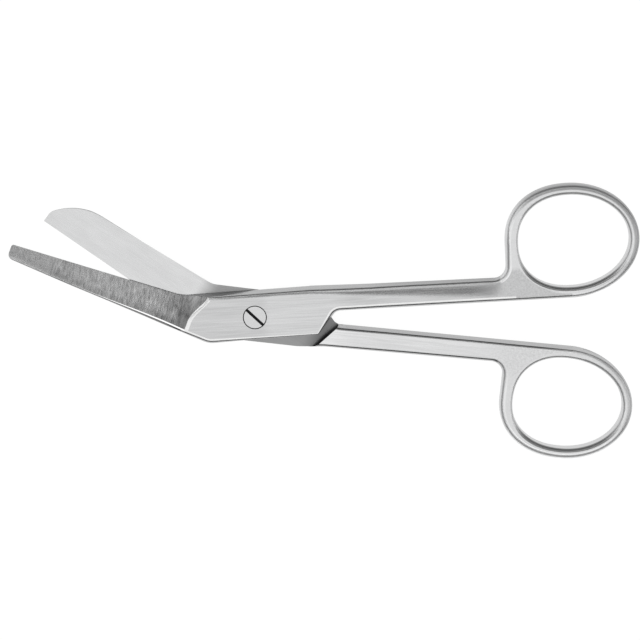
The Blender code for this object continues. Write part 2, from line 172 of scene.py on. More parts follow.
class UpperShape(bpy.types.PropertyGroup):
    """What is the upper half's own: its slim blunt blade, lap, waist and ring."""

    spine_corner: place("Spine corner", "Where the spine leaves the joint", (-11.0, -5.65))
    spine_angle: angle("Spine angle", "Spine's angle to the handles", 26.6)
    edge_corner: place("Edge corner", "Where the edge leaves the joint", (-16.0, 5.45))
    edge_angle: angle("Edge angle", "Cutting edge's angle to the handles", 20.4)
    spine_radius: length("Spine radius", "Round of the spine's corner", 5.0)
    edge_radius: length("Edge radius", "Round of the edge's corner", 10.0)
    lap_far_side: length("Lap far side", "Far side of the lap from the middle line", -5.0)
    waist_start: length("Waist start", "Where the shank starts to narrow", 13.0)
    waist_length: length("Waist length", "Length over which the shank narrows", 14.0)
    waist: length("Waist", "How much the shank narrows beyond the joint", 0.30)
    ring_turn: angle("Ring turn", "Turn of the ring about its centre", 0.0)
    reach: length("Reach", "Pivot to tip along the blade", 57.85)
    tip_radius: length("Tip radius", "Round of the tip by the spine", 1.45)
    tip_corner: length("Tip corner", "Round of the tip by the edge", 0.5)


class LowerShape(bpy.types.PropertyGroup):
    """What is the lower half's own: its broad rounded blade, lap, waist and ring."""

    spine_corner: place("Spine corner", "Where the spine leaves the joint", (-10.5, -6.15))
    spine_angle: angle("Spine angle", "Spine's angle to the handles", -26.84)
    edge_corner: place("Edge corner", "Where the edge leaves the joint", (-9.7, 5.64))
    edge_angle: angle("Edge angle", "Cutting edge's angle to the handles", -29.7)
    spine_radius: length("Spine radius", "Round of the spine's corner", 6.0)
    edge_radius: length("Edge radius", "Round of the edge's corner", 4.0)
    lap_far_side: length("Lap far side", "Far side of the lap from the middle line", -5.8)
    waist_start: length("Waist start", "Where the shank starts to narrow", 10.5)
    waist_length: length("Waist length", "Length over which the shank narrows", 6.0)
    waist: length("Waist", "How much the shank narrows beyond the joint", 0.58)
    ring_turn: angle("Ring turn", "Turn of the ring about its centre", 2.7)
    reach: length("Reach", "Pivot to tip along the blade", 52.3)
    tip_trim: length("Tip trim", "How far the nose is cut back from the edge", 1.35)
    tip_lean: share("Tip lean", "Share of the trim by which the nose leans back", 0.07)
    tip_corner: length("Tip corner", "Round of the tip by the edge", 0.168)
    nose_corner: length("Nose corner", "Round where the nose starts", 0.21)
    nose_length: length("Nose length", "Length of the steep side of the nose", 1.1)
    nose_slope: angle("Nose slope", "Slope of the nose's steep side", 65.0)
    nose_round: length("Nose round", "Round between nose and tip", 3.5)
    tip_slope: angle("Tip slope", "Slope of the tip from nose to hump", 21.0)
    tip_round: length("Tip round", "Round of the hump", 17.0)


class GrindSizes(bpy.types.PropertyGroup):
    """The wedge that is ground on the outer face of each blade."""

    spine_at_heel: length("Spine at heel", "Blade's thickness at the spine by the joint", 1.75)
    spine_at_tip: length("Spine at tip", "Blade's thickness at the spine by the tip", 1.05)
    edge_thickness: length("Edge thickness", "Thickness left at the cutting edge", 0.28)
    spine_bevel: length("Spine bevel", "Width of the polished bevel along the spine", 0.34)
    bevel_slope: angle("Bevel slope", "Slope of the bevel along the spine", 6.0)
    spine_relief: length("Spine relief", "Width of the dull relief outside the bevel", 0.32)
    relief_slope: angle("Relief slope", "Slope of the relief along the spine", 33.0)
    spine_side: length("Spine side", "Width of the steep side outside the relief", 0.30)
    side_slope: angle("Side slope", "Slope of the steep side along the spine", 58.0)
    spine_hollow: length("Spine hollow", "How far the ground face sinks beside the bevel", 0.07)
    hollow_width: length("Hollow width", "Width over which the ground face sinks", 1.5)
    facet_loss: share("Facet loss", "How much bevel and relief narrow towards the tip", 0.92)
    loss_start: share("Loss start", "Part of the blade after which the facets narrow", 0.1)
    loss_run: share("Loss run", "Part of the blade over which the facets narrow", 0.5)
    overrun: length("Overrun", "How far the grinding slopes on past the edge line", 1.2)
    shoulder_reach: length("Shoulder reach", "Pivot to the foot of the curved shoulder", 14.15)
    shoulder_sweep: length("Shoulder sweep", "How far the shoulder curves along the blade", 2.7)
    sweep_start: length("Sweep start", "Distance from the spine where the curve starts", 3.0)
    sweep_length: length("Sweep length", "Distance over which the shoulder curves", 8.0)
    sweep_fade: share("Sweep fade", "Part of the blade over which the curve dies out", 0.5)
    shoulder_break: length("Shoulder break", "Polished round at the top of the shoulder", 0.85)
    shoulder_hollow: length("Shoulder hollow", "Ground hollow at the shoulder's foot", 8.0)
    hollow_power: number("Hollow power", "How early the hollow drops, 1 is straight", 3.0)


class ScrewSizes(bpy.types.PropertyGroup):
    """The slotted pivot screw and the holes it sits in."""

    head_radius: length("Head radius", "Radius of the head", 2.65)
    head_height: length("Head height", "Height of the head", 1.15)
    edge_break: length("Edge break", "Chamfer of head and tail", 0.12)
    stem_radius: length("Stem radius", "Radius of the stem", 1.5)
    stem_clearance: length("Stem clearance", "Room round the stem", 0.10)
    head_clearance: length("Head clearance", "Room round the head", 0.10)
    head_seat: length("Head seat", "Room under the head", 0.20)
    head_sink: length("Head sink", "How far the head lies below the face", 0.03)
    slot_width: length("Slot width", "Width of the slot", 0.66)
    slot_depth: length("Slot depth", "Depth of the slot", 0.65)
    slot_angle: angle("Slot angle", "Turn of the slot", -43.0)


class Fineness(bpy.types.PropertyGroup):
    """How finely curves are divided."""

    arc_step: angle("Arc step", "Turn of each facet of a rounded corner", 3.0)
    ring_steps: count("Ring steps", "Facets round the outside of a ring", 150)
    hole_steps: count("Hole steps", "Facets round a finger hole", 192)
    rim_steps: count("Rim steps", "Facets across a rounded edge", 7)
    fillet_steps: count("Fillet steps", "Facets of the step's fillet", 12)
    drum_steps: count("Drum steps", "Facets round the screw and its holes", 128)
    stations: count("Stations", "Cuts along each change of thickness", 14)
    break_steps: count("Break steps", "Facets over a shoulder's polished break", 8)
    hollow_steps: count("Hollow steps", "Facets down the hollow at a shoulder's foot", 14)
    blade_steps: count("Blade steps", "Facets along the rest of a ground face", 24)
    wedge_steps: count("Wedge steps", "Facets across a ground face", 19)


class SteelFinish(bpy.types.PropertyGroup):
    """Colour and polish of the steel."""

    upper_flat: colour("Upper flats", "Steel of the upper brushed faces", (0.528, 0.530, 0.533))
    lower_flat: colour("Lower flats", "Steel of the lower brushed faces", (0.635, 0.637, 0.640))
    lapped: colour("Lapped faces", "Steel of the blades' inner faces", (0.620, 0.622, 0.625))
    ground: colour("Ground faces", "Steel of the blades' ground faces", (0.640, 0.641, 0.643))
    side: colour("Sides", "Steel of the sides", (0.530, 0.532, 0.535))
    upper_ring: colour("Upper ring", "Steel outside the upper ring", (0.470, 0.472, 0.475))
    lower_ring: colour("Lower ring", "Steel outside the lower ring", (0.590, 0.592, 0.595))
    hole: colour("Finger holes", "Steel inside the finger rings", (0.740, 0.742, 0.745))
    # Painted highlight on each ring's crown
    upper_crown: share("Upper crown", "How much lighter the upper ring's crown is", 0.30)
    lower_crown: share("Lower crown", "How much lighter the lower ring's crown is", 0.05)
    # Painted light on the rings beside the shank and towards -Y, and painted shade in the holes
    # towards -Y
    upper_by_shank: share("Upper by shank", "How much lighter the upper ring is by the shank", 0.65)
    lower_by_shank: share("Lower by shank", "How much lighter the lower ring is by the shank", 0.30)
    ring_in_front: share("Ring in front", "How much lighter the rings are towards -Y", 0.60)
    hole_in_front: share("Hole in front", "How much darker the holes are towards -Y", 0.60)
    screw: colour("Screw", "Steel of the screw", (0.590, 0.592, 0.595))
    # A near-black colour that paints the shade on the step wall
    step: colour("Step", "Milled steel of the step wall", (0.150, 0.150, 0.151))
    # Breaks and bevels are polished, and their light colours add a painted highlight
    polished: colour("Polished breaks", "Steel of the shoulders' breaks", (0.78, 0.78, 0.78))
    bevel: colour("Bevels", "Steel of the bevels along the spines", (0.97, 0.97, 0.97))
    # A near-black colour that paints the shade in slot and holes
    shaded: colour("Recesses", "Darkened steel in slot and holes", (0.030, 0.030, 0.031))
    flat_roughness: share("Flat roughness", "Roughness of the flat faces", 0.26)
    lapped_roughness: share("Lapped roughness", "Roughness of the inner faces", 0.27)
    ground_roughness: share("Ground roughness", "Roughness of the ground faces", 0.26)
    side_roughness: share("Side roughness", "Roughness of the sides", 0.24)
    step_roughness: share("Step roughness", "Roughness of the step wall", 0.38)
    # Painted shade on the sides along the blade
    side_on_blade: share("Side on blade", "How light the sides are along the blade", 0.45)
    # Painted shade on the rounded rims of each half
    upper_rim: share("Upper rim", "How much darker the upper half's rounded rims are", 0.10)
    lower_rim: share("Lower rim", "How much darker the lower half's rounded rims are", 0.50)
    polished_roughness: share("Polished roughness", "Roughness of the polished breaks", 0.28)
    bevel_roughness: share("Bevel roughness", "Roughness of the bevels", 0.14)
    ring_roughness: share("Ring roughness", "Roughness of the finger rings", 0.36)
    screw_roughness: share("Screw roughness", "Roughness of the screw", 0.26)
    recess_roughness: share("Recess roughness", "Roughness of slot and holes", 0.55)
    streak_lean: angle("Streak lean", "Lean of the grinding streaks across a blade", 9.0)
    smooth_tip: length("Smooth tip", "Length of the smoother tip of a ground face", 10.2)


class StageSizes(bpy.types.PropertyGroup):
    """Table, light and camera."""

    floor_size: length("Floor size", "Side of the white table", 4000.0)
    target: place("Target", "Point at the middle of the picture", (14.93, -1.03, 2.3))
    camera_distance: length("Camera distance", "Camera to target", 600.0)
    camera_tilt: angle("Camera tilt", "Camera's lean from straight above", 11.0)
    camera_lens: FloatProperty(name="Lens", default=146.68, subtype="DISTANCE_CAMERA",
                               description="Focal length in millimetres")
    panel_place: place("Panel place", "Centre of the overhead panel", (-60.0, -240.0, 900.0))
    panel_size: place("Panel size", "Width and depth of the overhead panel", (1700.0, 770.0))
    panel_level: number("Panel level", "Brightness of the overhead panel, 1 is white", 0.95)
    left_place: place("Left place", "Centre of the left panel", (-700.0, 330.0, 650.0))
    left_size: place("Left size", "Width and height of the left panel", (900.0, 700.0))
    left_level: number("Left level", "Brightness of the left panel, 1 is white", 0.5)
    right_place: place("Right place", "Centre of the right panel", (900.0, -60.0, 480.0))
    right_size: place("Right size", "Width and height of the right panel", (900.0, 480.0))
    right_level: number("Right level", "Brightness of the right panel, 1 is white", 0.9)
    back_place: place("Back place", "Centre of the back panel", (0.0, 560.0, 800.0))
    back_size: place("Back size", "Width and height of the back panel", (1800.0, 330.0))
    back_level: number("Back level", "Brightness of the back panel, 1 is white", 0.9)
    room_level: share("Room level", "Brightness of the room round the table", 0.20)
    table_drop: length("Table drop", "How far the table lies below the scissors", 0.02)
    table_shade: share("Table shade", "Share of light that the table throws back", 0.16)
    table_level: share("Table level", "Brightness of the table to the camera", 0.93)
    mirrored_level: share("Mirrored level", "Brightness of the table in reflections", 0.78)


class ScissorsSettings(bpy.types.PropertyGroup):
    """All sizes and finishes."""

    blank: PointerProperty(type=BlankSizes)
    ring: PointerProperty(type=RingSizes)
    upper_shape: PointerProperty(type=UpperShape)
    lower_shape: PointerProperty(type=LowerShape)
    grind: PointerProperty(type=GrindSizes)
    screw: PointerProperty(type=ScrewSizes)
    fineness: PointerProperty(type=Fineness)
    finish: PointerProperty(type=SteelFinish)
    stage: PointerProperty(type=StageSizes)


# Small geometry

def clamped(value):
    return min(1.0, max(0.0, value))


def ease(value):
    """A smooth step from 0 to 1."""
    value = clamped(value)
    return value * value * (3 - 2 * value)


def spaced(start, end, steps):
    """Evenly spaced values from start to end, both among them."""
    return [start + (end - start) * k / steps for k in range(steps + 1)]


def meet(point, direction, other, other_direction):
    """Where two lines in the plane cross, each given by a point on it and its direction."""
    along = Vector((math.cos(direction), math.sin(direction)))
    normal = Vector((-math.sin(other_direction), math.cos(other_direction)))
    travel = (Vector(other) - Vector(point)).dot(normal) / along.dot(normal)
    return Vector(point) + travel * along


def loft(sections, finish):
    """A closed solid skinned over loops of points that run counter-clockwise, lowest loop first."""
    bm = bmesh.new()
    rows = [[bm.verts.new(point) for point in section] for section in sections]
    bm.faces.new(reversed(rows[0]))
    for low, high in zip(rows, rows[1:]):
        for i in range(len(low)):
            j = (i + 1) % len(low)
            bm.faces.new((low[i], low[j], high[j], high[i]))
    bm.faces.new(rows[-1])
    for face in bm.faces:
        face.material_index = finish
    return bm


def drum(radius, low, high, steps, finish):
    """An upright cylinder."""
    turns = spaced(0, 2 * math.pi, steps)[:-1]
    return loft([[(radius * math.cos(a), radius * math.sin(a), z) for a in turns]
                 for z in (low, high)], finish)


def rounded(corners, arc_step):
    """Outline points and rim radii of a closed polygon of (point, fillet radius, rim in, rim out).

    Two fillets that would meet on a side share its length in proportion, with a little to spare.
    """
    spare, straight, nothing, fewest_steps = 0.98, 1e-4, 1e-9, 3
    total = len(corners)
    spots = [Vector(corner[0]) for corner in corners]
    sides = [spots[(i + 1) % total] - spots[i] for i in range(total)]
    turns = [sides[i - 1].angle(sides[i]) for i in range(total)]
    needs = [corner[1] * math.tan(turn / 2) for corner, turn in zip(corners, turns)]
    fits = [spare * sides[i].length / max(needs[i] + needs[(i + 1) % total], nothing)
            for i in range(total)]
    points, rims = [], []
    for i, (_, radius, rim_in, rim_out) in enumerate(corners):
        radius *= min(1.0, fits[i - 1], fits[i])
        turn, spot = turns[i], spots[i]
        if radius == 0 or turn < straight:
            points.append(spot)
            rims.append(rim_in)
            continue
        before, after = -sides[i - 1].normalized(), sides[i].normalized()
        bisector = (before + after).normalized()
        centre = spot + bisector * radius / math.cos(turn / 2)
        start = spot + before * radius * math.tan(turn / 2)
        side = 1 if before.x * after.y - before.y * after.x < 0 else -1
        steps = max(fewest_steps, math.ceil(turn / arc_step))
        for swept in spaced(0, side * turn, steps):
            arm = start - centre
            arm.rotate(Matrix.Rotation(swept, 2))
            points.append(centre + arm)
        rims += spaced(rim_in, rim_out, steps)
    return points, rims


def inward(points):
    """Normals into a counter-clockwise outline, lengthened at corners so that rims stay even.

    None is more than twice as long as on a straight side.
    """
    least = 0.5
    normals = []
    for i, point in enumerate(points):
        back = (point - points[i - 1]).normalized()
        ahead = (points[(i + 1) % len(points)] - point).normalized()
        normal = Vector((-back.y - ahead.y, back.x + ahead.x)).normalized()
        normals.append(normal / max(least, normal.dot(Vector((-back.y, back.x)))))
    return normals


# Outline of a half

def ring_centre(s):
    return Vector((s.ring.centre_x, s.blank.inner_at_ring + s.ring.band + s.ring.half_width))


def oval(s, near, far, half_width, angle, turn):
    """Point of the turned, egg-shaped ring, flatter towards the shank, at an angle."""
    cosine, sine = math.cos(angle), math.sin(angle)
    reach, power = (far, s.ring.far_power) if cosine >= 0 else (near, s.ring.near_power)
    arm = Vector((math.copysign(reach * abs(cosine) ** (2 / power), cosine),
                  math.copysign(half_width * abs(sine) ** (2 / power), sine)))
    arm.rotate(Matrix.Rotation(turn, 2))
    return ring_centre(s) + arm


def ring_wall_x(s):
    return s.ring.centre_x - s.ring.near - s.ring.band_at_shank


def handle_corners(s, shape):
    """Corners of lap, shank and ring, from the far side of the lap round to the outer side."""
    b, r = s.blank, s.ring
    rim = b.edge_round
    lap_corner = meet((b.lap_notch, b.inner_at_joint), b.step_slope + b.lap_lean,
                      (b.lap_end, shape.lap_far_side), 0)
    corners = [
        (lap_corner, b.corner_radius, rim / 2, rim / 2),
        ((b.lap_notch, b.inner_at_joint), b.notch_radius, rim, rim),
    ]
    # Three quarters of the ring's round. The web takes the quarter between shank and wall
    inner_side, wall = math.radians(-90), math.radians(180)
    for done in spaced(0, 1, s.fineness.ring_steps):
        ring_rim = rim + (r.outer_round - rim) * ease(done / r.rim_growth)
        point = oval(s, r.near + r.band_at_shank, r.far + r.band_at_end, r.half_width + r.band,
                     inner_side + (wall - inner_side) * done, shape.ring_turn)
        corners.append((point, 0, ring_rim, ring_rim))
    start, run = shape.waist_start, shape.waist_length
    waist = b.outer_half_width - shape.waist
    corners.append(((ring_wall_x(s), waist - b.shank_taper), r.root_fillet, r.outer_round, rim))
    corners.append(((start + run, waist), 2 * run, rim, rim))
    corners.append(((start, b.outer_half_width), 2 * run, rim, rim))
    return corners


def blade_axes(shape):
    """Along-blade and across-blade directions, across pointing from spine to cutting edge."""
    middle = (shape.spine_angle + shape.edge_angle) / 2
    return (Vector((-math.cos(middle), math.sin(middle))),
            Vector((math.sin(middle), math.cos(middle))))


def spine_and_edge(shape, reach):
    """Points of the spine line and the edge line at a distance from the pivot along the blade."""
    along, across = blade_axes(shape)
    square = math.atan2(across.y, across.x)
    at = along * reach
    spine = meet(at, square, shape.spine_corner, math.pi - shape.spine_angle)
    edge = meet(at, square, shape.edge_corner, math.pi - shape.edge_angle)
    return spine, edge


def upper_outline(s):
    shape, rim = s.upper_shape, s.blank.edge_round
    small = rim * s.blank.thin_share
    spine, edge = spine_and_edge(shape, shape.reach)
    return rounded([
        (spine, shape.tip_radius, small, small),
        (shape.spine_corner, shape.spine_radius, rim, rim),
        *handle_corners(s, shape),
        (shape.edge_corner, shape.edge_radius, rim, small),
        (edge, shape.tip_corner, small, small),
    ], s.fineness.arc_step)


def lower_outline(s):
    shape, rim = s.lower_shape, s.blank.edge_round
    small = rim * s.blank.thin_share
    along, across = blade_axes(shape)
    _, edge = spine_and_edge(shape, shape.reach)
    nose = edge - (across + along * shape.tip_lean) * shape.tip_trim
    bend = nose + shape.nose_length * Vector((math.cos(shape.nose_slope),
                                              -math.sin(shape.nose_slope)))
    hump = meet(bend, -shape.tip_slope, shape.spine_corner, math.pi - shape.spine_angle)
    return rounded([
        (hump, shape.tip_round, small, small),
        (shape.spine_corner, shape.spine_radius, rim, rim),
        *handle_corners(s, shape),
        (shape.edge_corner, shape.edge_radius, rim, small),
        (edge, shape.tip_corner, small, small),
        (nose, shape.nose_corner, small, small),
        (bend, shape.nose_round, small, small),
    ], s.fineness.arc_step)


# Solid of a half, and what is cut from it

def lap_level(s):
    """Height of the lap face, which faces down in the drawing."""
    return (s.blank.thickness + s.blank.lap_clearance) / 2


def thickness_at(s, x):
    """Full at the joint, drawn down along the shank, a little fuller again at the ring."""
    b = s.blank
    drawn = ease((x - b.shank_start - b.shank_ease / 2) / b.shank_ease)
    full = ease((x - ring_wall_x(s) + b.shank_ease / 2) / b.shank_ease)
    return (b.thickness + (b.shank_thickness - b.thickness) * drawn
            + (s.ring.thickness - b.shank_thickness) * full)


def outer_side(s, shape, x):
    """How far the shank's outer side lies from the middle line."""
    b = s.blank
    waist_end = shape.waist_start + shape.waist_length
    taper = clamped((x - waist_end) / (ring_wall_x(s) - waist_end))
    narrowed = ease((x - shape.waist_start) / shape.waist_length)
    return b.outer_half_width - shape.waist * narrowed - b.shank_taper * taper


def crown_at(s, shape, x, y):
    """How far the shank's face falls towards its outer side, more and more towards the ring."""
    b = s.blank
    end = ring_wall_x(s) + b.crown_overlap
    grown = min(1.0, (x - b.crown_start) / (end - b.crown_fade - b.crown_start))
    begun = ease((x + b.shank_start) / b.crown_rise)
    faded = 1 - ease((x - end + b.crown_fade) / b.crown_fade)
    rim = b.thickness / 2 * math.tan(b.side_draft) - b.side_bulge
    width = b.crown_width * max(b.crown_least_width, grown)
    depth = b.crown_depth * max(b.crown_least_depth, grown) * faded * begun
    part = 1 - (outer_side(s, shape, x) - rim - y) / width
    return depth * max(0.0, part) ** b.crown_power


def bisect(bm, spot, normal):
    """Cuts every face that a plane passes through, so that the mesh can bend there."""
    snap = 0.001 * MM
    bmesh.ops.bisect_plane(bm, geom=bm.verts[:] + bm.edges[:] + bm.faces[:], dist=snap,
                           plane_co=spot, plane_no=normal)


def draw_down(s, shape, bm, crowned):
    """Works the flat blank to its thickness along the shank, and crowns its outer face."""
    b, stations = s.blank, s.fineness.stations
    start, end = b.shank_start + b.shank_ease / 2, ring_wall_x(s) - b.shank_ease / 2
    cuts = spaced(start, start + b.shank_ease, stations) + spaced(end, end + b.shank_ease, stations)
    if crowned:
        cuts += spaced(-b.shank_start, start, stations)[:-1]
        cuts += spaced(start + b.shank_ease, end, stations)[1:-1]
        # Strips that cover a little more than the crowned width
        strips, covered = 2 * stations, 1.05 * b.crown_width
        for k in range(strips):
            bisect(bm, (0, b.outer_half_width - covered * (k + 0.5) / strips, 0), (0, 1, 0))
    for x in cuts:
        bisect(bm, (x, 0, 0), (1, 0, 0))
    middle = b.thickness / 2
    for vert in bm.verts:
        x, y, z = vert.co
        vert.co.z = middle + (z - middle) * thickness_at(s, x) / b.thickness
        if crowned:
            vert.co.z -= crown_at(s, shape, x, y) * max(0.0, z / middle - 1)


def forged_part(s, rim):
    """From a rim's radius, 1 where the side is left as forged, 0 where it is ground or a ring."""
    full, thin, outer = s.blank.edge_round, s.blank.thin_share, s.ring.outer_round
    return clamped(min((rim / full - thin) / (1 - thin), (outer - rim) / (outer - full)))


def bulge_at(s, point):
    """How far a forged side stands out. The shank's inner side starts to do so past the joint."""
    b, inner_side = s.blank, 2 * MM
    if point.x < 0 or point.y > inner_side:
        return b.side_bulge
    return b.side_bulge * ease((point.x - b.bulge_start) / b.bulge_run)


def blank_levels(s):
    """Levels up the blank: side, sine and cosine on the rounded rim, 1 for the soft break."""
    rounds = [(math.sin(a), math.cos(a)) for a in spaced(0, math.pi / 2, s.fineness.rim_steps)]
    levels = [(-1, sine, cosine, 0) for sine, cosine in rounds]
    levels.append((0, 1.0, 0.0, 0))
    levels += [(1, sine, cosine, 0) for sine, cosine in reversed(rounds)]
    levels.append((1, 0.0, 1.0, 1))
    return levels


def blank(s, shape, points, rims, crowned):
    """The forged blank: the outline with drafted sides and rounded rims, widest in the middle."""
    b = s.blank
    middle, lean = b.thickness / 2, math.tan(b.side_draft)
    forged = [forged_part(s, rim) for rim in rims]
    places = list(zip(points, inward(points), rims, forged))
    sections = []
    for side, sine, cosine, inside in blank_levels(s):
        section = []
        for point, normal, rim, part in places:
            rise = middle - rim * (1 - cosine) - b.soft_drop * part * (1 - inside)
            inset = rim * (1 - sine) + rise * lean * part + b.soft_break * part * inside
            flat = point + normal * (inset * abs(side) - bulge_at(s, point) * part)
            section.append((flat.x, flat.y, middle + side * rise))
        sections.append(section)
    bm = loft(sections, SIDE)
    ring_start = ring_wall_x(s) - s.ring.root_fillet / 2
    give_finishes(s, bm, ring_start, crowned)
    draw_down(s, shape, bm, crowned)
    for face in bm.faces:
        past = face.calc_center_median().x - ring_start
        if face.material_index == POLISHED and past > b.crown_polish:
            face.material_index = FLAT
    bmesh.ops.triangulate(bm, faces=[face for face in bm.faces if len(face.verts) == 4])
    return bm


def give_finishes(s, bm, ring_start, crowned):
    """Brushes a flat blank's faces and their soft break, and polishes the ring."""
    # Only the upper face and its soft break lie wholly above this height
    brink = s.blank.thickness - 1.5 * s.blank.soft_drop
    for face in bm.faces:
        face.normal_update()
        before_ring = face.calc_center_median().x < ring_start
        if len(face.verts) > 4:
            face.material_index = FLAT
        elif before_ring and min(vert.co.z for vert in face.verts) > brink:
            face.material_index = POLISHED if crowned and face.normal.y < 0 else FLAT
        elif not before_ring:
            face.material_index = RING


def hole_cutter(s, ring_turn):
    """The finger hole, flaring at both faces to round its rims."""
    r = s.ring
    around = spaced(0, 2 * math.pi, s.fineness.hole_steps)[:-1]
    face = (s.blank.thickness - r.thickness) / 2
    # It leaves the faces at a slant, so that it shares no plane with them
    outside, brink, slant = 0.5 * MM, 0.02 * MM, math.sin(math.radians(3))
    levels = [(1.0, face - outside), (1.0 - slant, face - brink)]
    for turn in spaced(0, math.pi / 2, s.fineness.rim_steps)[1:]:
        levels.append((1 - math.sin(turn), face + r.hole_round * (1 - math.cos(turn))))
    levels += [(grow, s.blank.thickness - z) for grow, z in reversed(levels)]
    sections = []
    for grow, z in levels:
        flare = r.hole_round * grow
        loop = [oval(s, r.near + flare, r.far + flare, r.half_width + flare, a, ring_turn)
                for a in around]
        sections.append([(p.x, p.y, z) for p in loop])
    return loft(sections, HOLE)


def lap_cutter(s):
    """Everything under the lap face, up to the step wall, filleted at its foot and broken above."""
    b = s.blank
    wall = math.pi - b.step_slope
    away = Vector((math.sin(b.step_slope), math.cos(b.step_slope)))
    span = 2 * s.upper_shape.reach
    lap = lap_level(s)
    broken, fillet, brink_steps = b.step_break, b.step_fillet, 3
    levels = [(broken, -b.thickness)]
    levels += [(broken * (1 - math.sin(a)), broken * (1 - math.cos(a)))
               for a in spaced(0, math.pi / 2, brink_steps)]
    levels += [(-fillet * (1 - math.cos(a)), lap - fillet * (1 - math.sin(a)))
               for a in spaced(0, math.pi / 2, s.fineness.fillet_steps)]
    sections = []
    for out, z in levels:
        foot = Vector((b.lap_notch + b.step_clearance, b.inner_at_joint)) + away * out
        right = meet((0, -span), 0, foot, wall)
        left = meet((0, span), 0, foot, wall)
        loop = [right, left, Vector((-2 * span, span)), Vector((-2 * span, -span))]
        sections.append([(p.x, p.y, z) for p in loop])
    return loft(sections, LAPPED)


def surface_cutter(rows, top, finish_of):
    """A solid that removes what lies above a surface, given as rows of points of one length.

    Each face leaves the finish that is given for its row and column.
    """
    bm = bmesh.new()
    floor = [[bm.verts.new(point) for point in row] for row in rows]
    for n, (low, high) in enumerate(zip(floor, floor[1:])):
        for i in range(len(low) - 1):
            face = bm.faces.new((low[i], low[i + 1], high[i + 1], high[i]))
            face.material_index = finish_of(n, i)
    lifted = bmesh.ops.extrude_face_region(bm, geom=bm.faces[:])["geom"]
    for vert in (g for g in lifted if isinstance(g, bmesh.types.BMVert)):
        vert.co.z = top
    return bm


def shoulder_rows(s, reach):
    """Distances from the shoulder's foot with how deep the grinding is there, 0 to 1.

    The first rows are the polished break, which bends down into the long ground hollow. The cut
    starts a little above the face and ends past the tip.
    """
    g, f = s.grind, s.fineness
    lead, above, past_tip = 0.25 * MM, -0.01, 10 * MM
    meeting = g.shoulder_break / (g.shoulder_break + 2 * g.shoulder_hollow / g.hollow_power)
    rows = [(-g.shoulder_break - lead, above)]
    rows += [((part - 1) * g.shoulder_break, meeting * part ** 2)
             for part in spaced(0, 1, f.break_steps)]
    rows += [(g.shoulder_hollow * part, 1 - (1 - meeting) * (1 - part) ** g.hollow_power)
             for part in spaced(0, 1, f.hollow_steps)[1:]]
    rows += [(at, 1.0) for at in spaced(g.shoulder_hollow, reach + past_tip, f.blade_steps)[1:]]
    return rows


def wedge_section(s, width, run):
    """Distances from the spine with the wedge's height there, from outside it to past the edge.

    Run is the part of the blade that lies behind. Three small facets come before the hollow wedge.
    """
    g = s.grind
    outside, fall, bunching = 5 * MM, 1 * MM, 1.5
    kept = 1 - g.facet_loss * ease((run - g.loss_start) / g.loss_run)
    facets = ((g.spine_side, g.side_slope), (g.spine_relief * kept, g.relief_slope),
              (g.spine_bevel * kept, g.bevel_slope))
    places = [(-outside, -fall), (0.0, 0.0)]
    for wide, slope in facets:
        across, rise = places[-1]
        places.append((across + wide, rise + wide * math.tan(slope)))
    begin, peak = places[-1]
    top = g.spine_at_heel + (g.spine_at_tip - g.spine_at_heel) * run
    places = [(across, top + rise - peak) for across, rise in places]
    slope = (top - g.spine_hollow - g.edge_thickness) / (width - begin)
    for part in spaced(0, 1, s.fineness.wedge_steps)[1:]:
        across = (width - begin) * part ** bunching
        near = max(0.0, 1 - across / g.hollow_width)
        places.append((begin + across, top - slope * across - g.spine_hollow * (1 - near ** 2)))
    places.append((width + g.overrun, places[-1][1] - slope * g.overrun))
    places.append((width + outside, places[-1][1]))
    return places


def grind_cutter(s, shape):
    """What grinding takes off a blade's outer face, from the curved shoulder to past the tip."""
    b, g = s.blank, s.grind
    along, _ = blade_axes(shape)
    lap = lap_level(s)
    reach = shape.reach - g.shoulder_reach
    surface = []
    for distance, depth in shoulder_rows(s, reach):
        spine, edge = spine_and_edge(shape, g.shoulder_reach + distance)
        width = (edge - spine).length
        fade = 1 - ease(distance / (reach * g.sweep_fade))
        line = []
        for across, height in wedge_section(s, width, clamped(distance / reach)):
            level = lap + height
            z = level + (b.thickness - level) * (1 - depth)
            sweep = g.shoulder_sweep * ease((across - g.sweep_start) / g.sweep_length)
            spot = spine + (edge - spine) * across / width - along * sweep * fade
            line.append((spot.x, spot.y, z))
        surface.append(line)
    by_spine = (SIDE, SIDE, SIDE, BEVEL)

    def finish_of(row, column):
        if row <= s.fineness.break_steps:
            return POLISHED
        return by_spine[column] if column < len(by_spine) else GROUND

    return surface_cutter(surface, 2 * b.thickness, finish_of)


def solid(name, bm, finishes):
    """An object of a form, with every finish in its slot."""
    mesh = bpy.data.meshes.new(name)
    bm.to_mesh(mesh)
    bm.free()
    for material in finishes:
        mesh.materials.append(material)
    body = bpy.data.objects.new(name, mesh)
    bpy.context.scene.collection.objects.link(body)
    return body


def cut(body, name, bm, finishes):
    """Takes a form away from a body, leaving the finish that the form's faces carry."""
    bmesh.ops.recalc_face_normals(bm, faces=bm.faces)
    tool = solid(name, bm, finishes)
    tool.hide_render = True
    modifier = body.modifiers.new(name, "BOOLEAN")
    modifier.operation = "DIFFERENCE"
    modifier.solver = "EXACT"
    modifier.object = tool
    return tool


def settled(body, tools=()):
    """The body's mesh with its cuts made, and the tools cleared away."""
    graph = bpy.context.evaluated_depsgraph_get()
    graph.update()
    mesh = bpy.data.meshes.new_from_object(body.evaluated_get(graph))
    body.modifiers.clear()
    body.data = mesh
    for tool in tools:
        bpy.data.objects.remove(tool, do_unlink=True)
    return mesh


